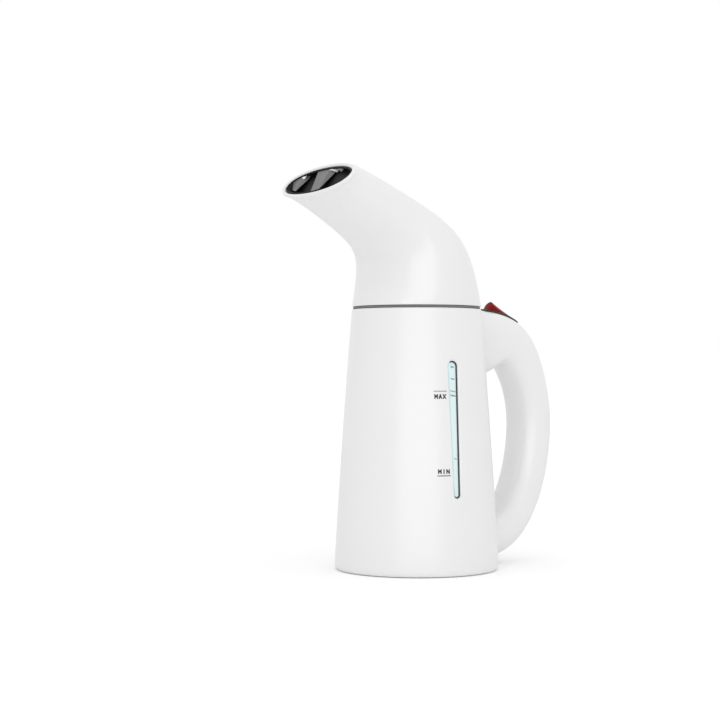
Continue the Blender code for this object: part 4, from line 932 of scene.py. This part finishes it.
def handle_frames(start, end, steps):
    """Centre, outward direction and finger side's depth of the handle along its path."""
    rise = HANDLE_TOP_HEIGHT - HANDLE_FOOT_HEIGHT
    grip = casing_radius(HANDLE_FOOT_HEIGHT + rise * GRIP_RISE_SHARE)
    grip += FINGER_GAP + HANDLE_HALF_DEPTH
    rows = []
    stations = zip(HANDLE_REACH_SHARES, HANDLE_RISE_SHARES, HANDLE_FINGER_SIDE_SHARES)
    for reach_share, rise_share, finger_share in stations:
        z = HANDLE_FOOT_HEIGHT + rise * rise_share
        side = casing_radius(z)
        rows.append((AXIS_X + side + (grip - side) * reach_share, z, HANDLE_HALF_DEPTH * finger_share))
    lengths = np.linalg.norm(np.diff(rows, axis=0)[:, :2], axis=1)
    knots = np.concatenate(([0.0], np.cumsum(lengths))) / lengths.sum()
    samples = spaced(start, end, steps)
    centres = smooth_curve(knots, rows, samples)
    ahead = smooth_curve(knots, rows, [sample + SPLINE_PROBE_SHARE for sample in samples])
    frames = []
    for centre, beyond in zip(centres, ahead):
        along = Vector((beyond[0] - centre[0], 0.0, beyond[1] - centre[1])).normalized()
        outward = Vector((-along.z, 0.0, along.x))
        frames.append((Vector((centre[0], 0.0, centre[1])), outward, centre[2]))
    return frames


def handle_rings(proud=0.0):
    """Rings of the handle's tube, or of a skin that stands proud of it."""
    half_depth = HANDLE_HALF_DEPTH + proud
    half_width = HANDLE_HALF_WIDTH + proud
    section = oval(half_depth, half_width, HANDLE_SECTION_POWER, HANDLE_SIDES)
    rings = []
    for centre, outward, finger_depth in handle_frames(0.0, 1.0, HANDLE_STEPS):
        growth = finger_depth / HANDLE_HALF_DEPTH
        ring = []
        for deep, wide in section:
            reach = deep if deep > 0.0 else deep * growth
            ring.append(centre + outward * reach + Vector((0.0, wide, 0.0)))
        rings.append(ring)
    return rings


def finger_side_band(name, half_width, depth, shorten):
    """A band on the finger side of the handle, from its skin down to a depth."""
    start, end = COVER_SHARES
    rings = []
    for centre, outward, finger_depth in handle_frames(start + shorten, end - shorten, COVER_STEPS):
        far, near = finger_depth + OVERRUN, finger_depth - depth
        corners = ((far, -half_width), (far, half_width), (near, half_width), (near, -half_width))
        rings.append([centre - outward * deep + Vector((0.0, wide, 0.0)) for deep, wide in corners])
    return loft(name, rings)


def casing_envelope():
    """The jug's outer shape with its gap, for cutting what stands against it."""
    heights = spaced(CASING_BOTTOM - OVERRUN, CASING_TOP + OVERRUN, CASING_STEPS)
    profile = [(casing_radius(height) + HAIRLINE, height) for height in heights]
    return loft("casing_envelope", turned_rings(profile))


def seat_matrix():
    """Frame of the switch's seat on top of the handle."""
    spot = Matrix.Translation((AXIS_X + SWITCH_X, 0.0, SWITCH_Z))
    return spot @ Matrix.Rotation(math.radians(SWITCH_SLOPE), 4, "Y")


def make_handle(looks):
    """The handle's skin, and the strip that closes it on the finger side."""
    seat = seat_matrix()
    skin = loft("handle_skin", handle_rings())
    well = block(
        "well",
        (-WELL_HALF_LENGTH, -WELL_HALF_WIDTH, -WELL_DEPTH),
        (WELL_HALF_LENGTH, WELL_HALF_WIDTH, WELL_DEPTH),
        seat,
    )
    slot = finger_side_band("cover_slot", COVER_HALF_WIDTH + HAIRLINE, COVER_DEPTH + HAIRLINE, 0.0)
    carve(skin, ("DIFFERENCE", casing_envelope()), ("DIFFERENCE", slot), ("DIFFERENCE", well))
    finish_piece(skin, looks["white_shell"], "jug", ["handle_shell"])
    cover = loft("handle_strip", handle_rings())
    shorten = HAIRLINE / (HANDLE_TOP_HEIGHT - HANDLE_FOOT_HEIGHT)
    strip = finger_side_band("cover_strip", COVER_HALF_WIDTH, COVER_DEPTH, shorten)
    carve(cover, ("INTERSECT", strip))
    finish_piece(cover, looks["white_shell"], "jug", ["handle_cover"])


def make_switch_frame(looks):
    """The black frame of the rocker: its rim stands a little proud of the handle's skin."""
    seat = seat_matrix()
    length, width = FRAME_HALF_LENGTH, FRAME_HALF_WIDTH
    outer = ((-length, -width, -FRAME_DEPTH), (length, width, ROCKER_TOP))
    frame_block = block("switch_frame", *outer, seat)
    limit = loft("frame_limit", handle_rings(FRAME_PROUD))
    length -= FRAME_WALL
    width -= FRAME_WALL
    inner = ((-length, -width, -FRAME_CAVITY_DEPTH), (length, width, 2.0 * ROCKER_TOP))
    carve(frame_block, ("INTERSECT", limit), ("DIFFERENCE", block("frame_cavity", *inner, seat)))
    round_edges(frame_block, FRAME_EDGE_ROUND, FRAME_EDGE_SEGMENTS)
    finish_piece(frame_block, looks["black_plastic"], "jug", ["switch_housing"])


def rocker_ring(along, crest, matrix):
    """Section of the rocker: an arched top over two straight sides."""
    bottom = ROCKER_PIVOT_DEPTH - ROCKER_BOTTOM
    ring = [(along, ROCKER_HALF_WIDTH, bottom), (along, -ROCKER_HALF_WIDTH, bottom)]
    for share in spaced(-1.0, 1.0, ROCKER_ARCH_STEPS):
        ring.append((along, share * ROCKER_HALF_WIDTH, crest - ROCKER_CROWN * share**2))
    return [matrix @ Vector(point) for point in ring]


def make_rocker(looks):
    """The red rocker, with a dished top and eased edges."""
    pivot = Matrix.Translation((0.0, 0.0, -ROCKER_PIVOT_DEPTH))
    matrix = seat_matrix() @ pivot @ Matrix.Rotation(math.radians(ROCKER_TILT), 4, "Y")
    crest = ROCKER_TOP + ROCKER_PIVOT_DEPTH
    rings = []
    for share in spaced(-1.0, 1.0, ROCKER_STEPS):
        top = crest - ROCKER_DISH * (1.0 - share**2)
        rings.append(rocker_ring(share * ROCKER_HALF_LENGTH, top, matrix))
    rocker = round_edges(loft("rocker_cap", rings), ROCKER_EDGE_ROUND)
    finish_piece(rocker, looks["rocker"], "rocker", ["rocker_button"])


def wrapped(point, azimuth, height, proud):
    """A point of flat lettering, (across, up), laid on the casing's surface."""
    level = height + point.y
    radius = casing_radius(level) + proud
    angle = math.radians(azimuth) + point.x / casing_radius(level)
    return Vector((AXIS_X + radius * math.cos(angle), radius * math.sin(angle), level))


def stroke_rings(start, end, azimuth, height):
    """The two end rings of a letter's straight stroke, laid on the casing."""
    along = (end - start).normalized() * LETTER_STROKE / 2.0
    side = Vector((-along.y, along.x))
    corners = ((side, 0.0), (side, HAIRLINE), (-side, HAIRLINE), (-side, 0.0))
    return [
        [wrapped(spot + out, azimuth, height, lift) for out, lift in corners]
        for spot in (start - along, end + along)
    ]


def wrapped_word(name, word, azimuth, height, letter_height, material):
    """Bold lettering laid on the casing, each letter drawn with straight strokes."""
    pitch = (WORD_WIDTH + LETTER_SPACE) / len(word)
    strokes = []
    for index, letter in enumerate(word):
        left = index * pitch - WORD_WIDTH / 2.0
        for points in LETTER_STROKES[letter]:
            start, end = (
                Vector((left + across * (pitch - LETTER_SPACE), (up - 0.5) * letter_height))
                for across, up in points
            )
            strokes.append(stroke_rings(start, end, azimuth, height))

    def draw(shape):
        for rings in strokes:
            add_loft(shape, rings)

    finish_piece(mesh_object(name, draw), material, "jug")


def wrapped_line(name, azimuth, height, length, material):
    """A printed line laid on the casing."""
    half = LINE_THICKNESS / 2.0
    rings = []
    for across in spaced(-length / 2.0, length / 2.0, LINE_STEPS):
        corners = ((-half, 0.0), (-half, HAIRLINE), (half, HAIRLINE), (half, 0.0))
        rings.append([wrapped(Vector((across, up)), azimuth, height, out) for up, out in corners])
    finish_piece(loft(name, rings), material, "jug")


def make_marks(looks):
    """The printed upper and lower level marks beside the window."""
    upper, lower = UPPER_MARK_AZIMUTH, LOWER_MARK_AZIMUTH
    pale, dark, mid = looks["pale_ink"], looks["ink"], looks["grey_ink"]
    wrapped_line("upper_level_line", upper, UPPER_LINE_HEIGHT, UPPER_LINE_LENGTH, pale)
    wrapped_word("upper_level_word", "MAX", upper, UPPER_WORD_HEIGHT, UPPER_LETTER_HEIGHT, dark)
    wrapped_word("lower_level_word", "MIN", lower, LOWER_WORD_HEIGHT, LOWER_LETTER_HEIGHT, dark)
    wrapped_line("lower_level_line", lower, LOWER_LINE_HEIGHT, LOWER_LINE_LENGTH, mid)


def make_camera():
    """The photograph's camera."""
    data = bpy.data.cameras.new("photo_camera")
    data.lens = CAMERA_LENS
    data.shift_y = CAMERA_SHIFT
    camera = bpy.data.objects.new("photo_camera", data)
    bpy.context.scene.collection.objects.link(camera)
    turn = Matrix.Rotation(math.radians(-CAMERA_YAW), 4, "Z")
    spot = turn @ Vector((-CAMERA_SIDE, -CAMERA_DISTANCE, CAMERA_HEIGHT))
    camera.location = spot + Vector((AXIS_X, 0.0, 0.0))
    camera.rotation_euler = (math.radians(TURN / 4.0), 0.0, math.radians(-CAMERA_YAW))
    bpy.context.scene.camera = camera


def add_lamp(name, azimuth, elevation, distance, width, height, level):
    """A soft lamp that faces the middle of the jug. Its level is the radiance of its face."""
    data = bpy.data.lights.new(name, "AREA")
    data.shape = "RECTANGLE"
    data.size = width
    data.size_y = height
    data.energy = level * math.pi * width * height
    lamp = bpy.data.objects.new(name, data)
    bpy.context.scene.collection.objects.link(lamp)
    turn = math.radians(azimuth)
    rise = math.radians(elevation)
    way = Vector((math.cos(turn) * math.cos(rise), math.sin(turn) * math.cos(rise), math.sin(rise)))
    lamp.location = Vector((0.0, 0.0, LAMP_AIM_HEIGHT)) + way * distance
    lamp.rotation_euler = way.to_track_quat("Z", "Y").to_euler()


def add_seen(tree):
    """One where the camera looks, straight, through something clear or in a reflection."""
    path = tree.nodes.new("ShaderNodeLightPath")
    seen = path.outputs["Is Camera Ray"]
    for name in ("Is Transmission Ray", "Is Glossy Ray"):
        either = tree.nodes.new("ShaderNodeMath")
        either.operation = "MAXIMUM"
        tree.links.new(seen, either.inputs[0])
        tree.links.new(path.outputs[name], either.inputs[1])
        seen = either.outputs[0]
    return seen


def make_world():
    """Even pale surroundings that the camera sees as white."""
    world = bpy.data.worlds.new("studio")
    bpy.context.scene.world = world
    world.use_nodes = True
    tree = world.node_tree
    background = tree.nodes["Background"]
    background.inputs["Color"].default_value = (*grey(1.0), OPAQUE)
    level = add_range(tree, add_seen(tree), AMBIENT_LEVEL, SEEN_LEVEL)
    tree.links.new(level, background.inputs["Strength"])


def add_floor_glow(tree, shader):
    """Let the floor glow to the camera, more so away from the middle."""
    place = tree.nodes.new("ShaderNodeNewGeometry")
    distance = tree.nodes.new("ShaderNodeVectorMath")
    distance.operation = "LENGTH"
    tree.links.new(place.outputs["Position"], distance.inputs[0])
    glow = add_range(tree, distance.outputs["Value"], *FLOOR_GLOWS, *FLOOR_GLOW_DISTANCES)
    path = tree.nodes.new("ShaderNodeLightPath")
    seen = tree.nodes.new("ShaderNodeMath")
    seen.operation = "MULTIPLY"
    tree.links.new(path.outputs["Is Camera Ray"], seen.inputs[0])
    tree.links.new(glow, seen.inputs[1])
    shader.inputs["Emission Color"].default_value = (*grey(1.0), OPAQUE)
    tree.links.new(seen.outputs[0], shader.inputs["Emission Strength"])


def make_floor():
    """A plain white floor that keeps a faint shadow."""
    reach = FLOOR_REACH
    corners = [(-reach, -reach, 0.0), (reach, -reach, 0.0), (reach, reach, 0.0), (-reach, reach, 0.0)]
    mesh = bpy.data.meshes.new("floor")
    mesh.from_pydata(corners, [], [(0, 1, 2, 3)])
    floor = bpy.data.objects.new("floor", mesh)
    bpy.context.scene.collection.objects.link(floor)
    material, tree, shader = node_tree("white_floor")
    shader.inputs["Base Color"].default_value = (*grey(FLOOR_SHADE), OPAQUE)
    shader.inputs["Roughness"].default_value = FLOOR_ROUGHNESS
    add_floor_glow(tree, shader)
    mesh.materials.append(material)


def make_lights():
    """A soft lamp behind the camera and a weaker one above."""
    add_lamp("front_lamp", *FRONT_LAMP)
    add_lamp("top_lamp", *TOP_LAMP)


def main():
    """Dress the steamer, build its visible skins and light it."""
    looks = {
        "white_shell": white_plastic(),
        "clear_window": pane_plastic(),
        "tank_plastic": aqua_plastic(),
        "black_plastic": black_plastic(),
        "red_plastic": red_plastic(),
        "grey_rubber": grey_rubber(),
        "seam": seam_rubber(),
        "cast_aluminium": cast_metal(),
        "steel": plated_steel(),
        "brass": brass(),
        "fin": fin_plastic(),
        "matt_black": matt_black(),
        "rocker": rocker_plastic(),
        "tick": tick_plastic(),
        "seal": seal_rubber(),
        "ink": print_ink("dark_ink", level=0.02),
        "grey_ink": print_ink("grey_ink", level=0.10),
        "pale_ink": print_ink("pale_ink", level=0.26),
    }
    dress_nodes(looks)
    make_casing(looks)
    make_window_seal(looks)
    make_window_pane(looks)
    make_ticks(looks)
    make_seam(looks)
    make_head(looks)
    make_vent(looks)
    make_handle(looks)
    make_switch_frame(looks)
    make_rocker(looks)
    make_marks(looks)
    make_camera()
    make_world()
    make_floor()
    make_lights()
    bpy.context.scene.view_settings.view_transform = "Standard"


main()
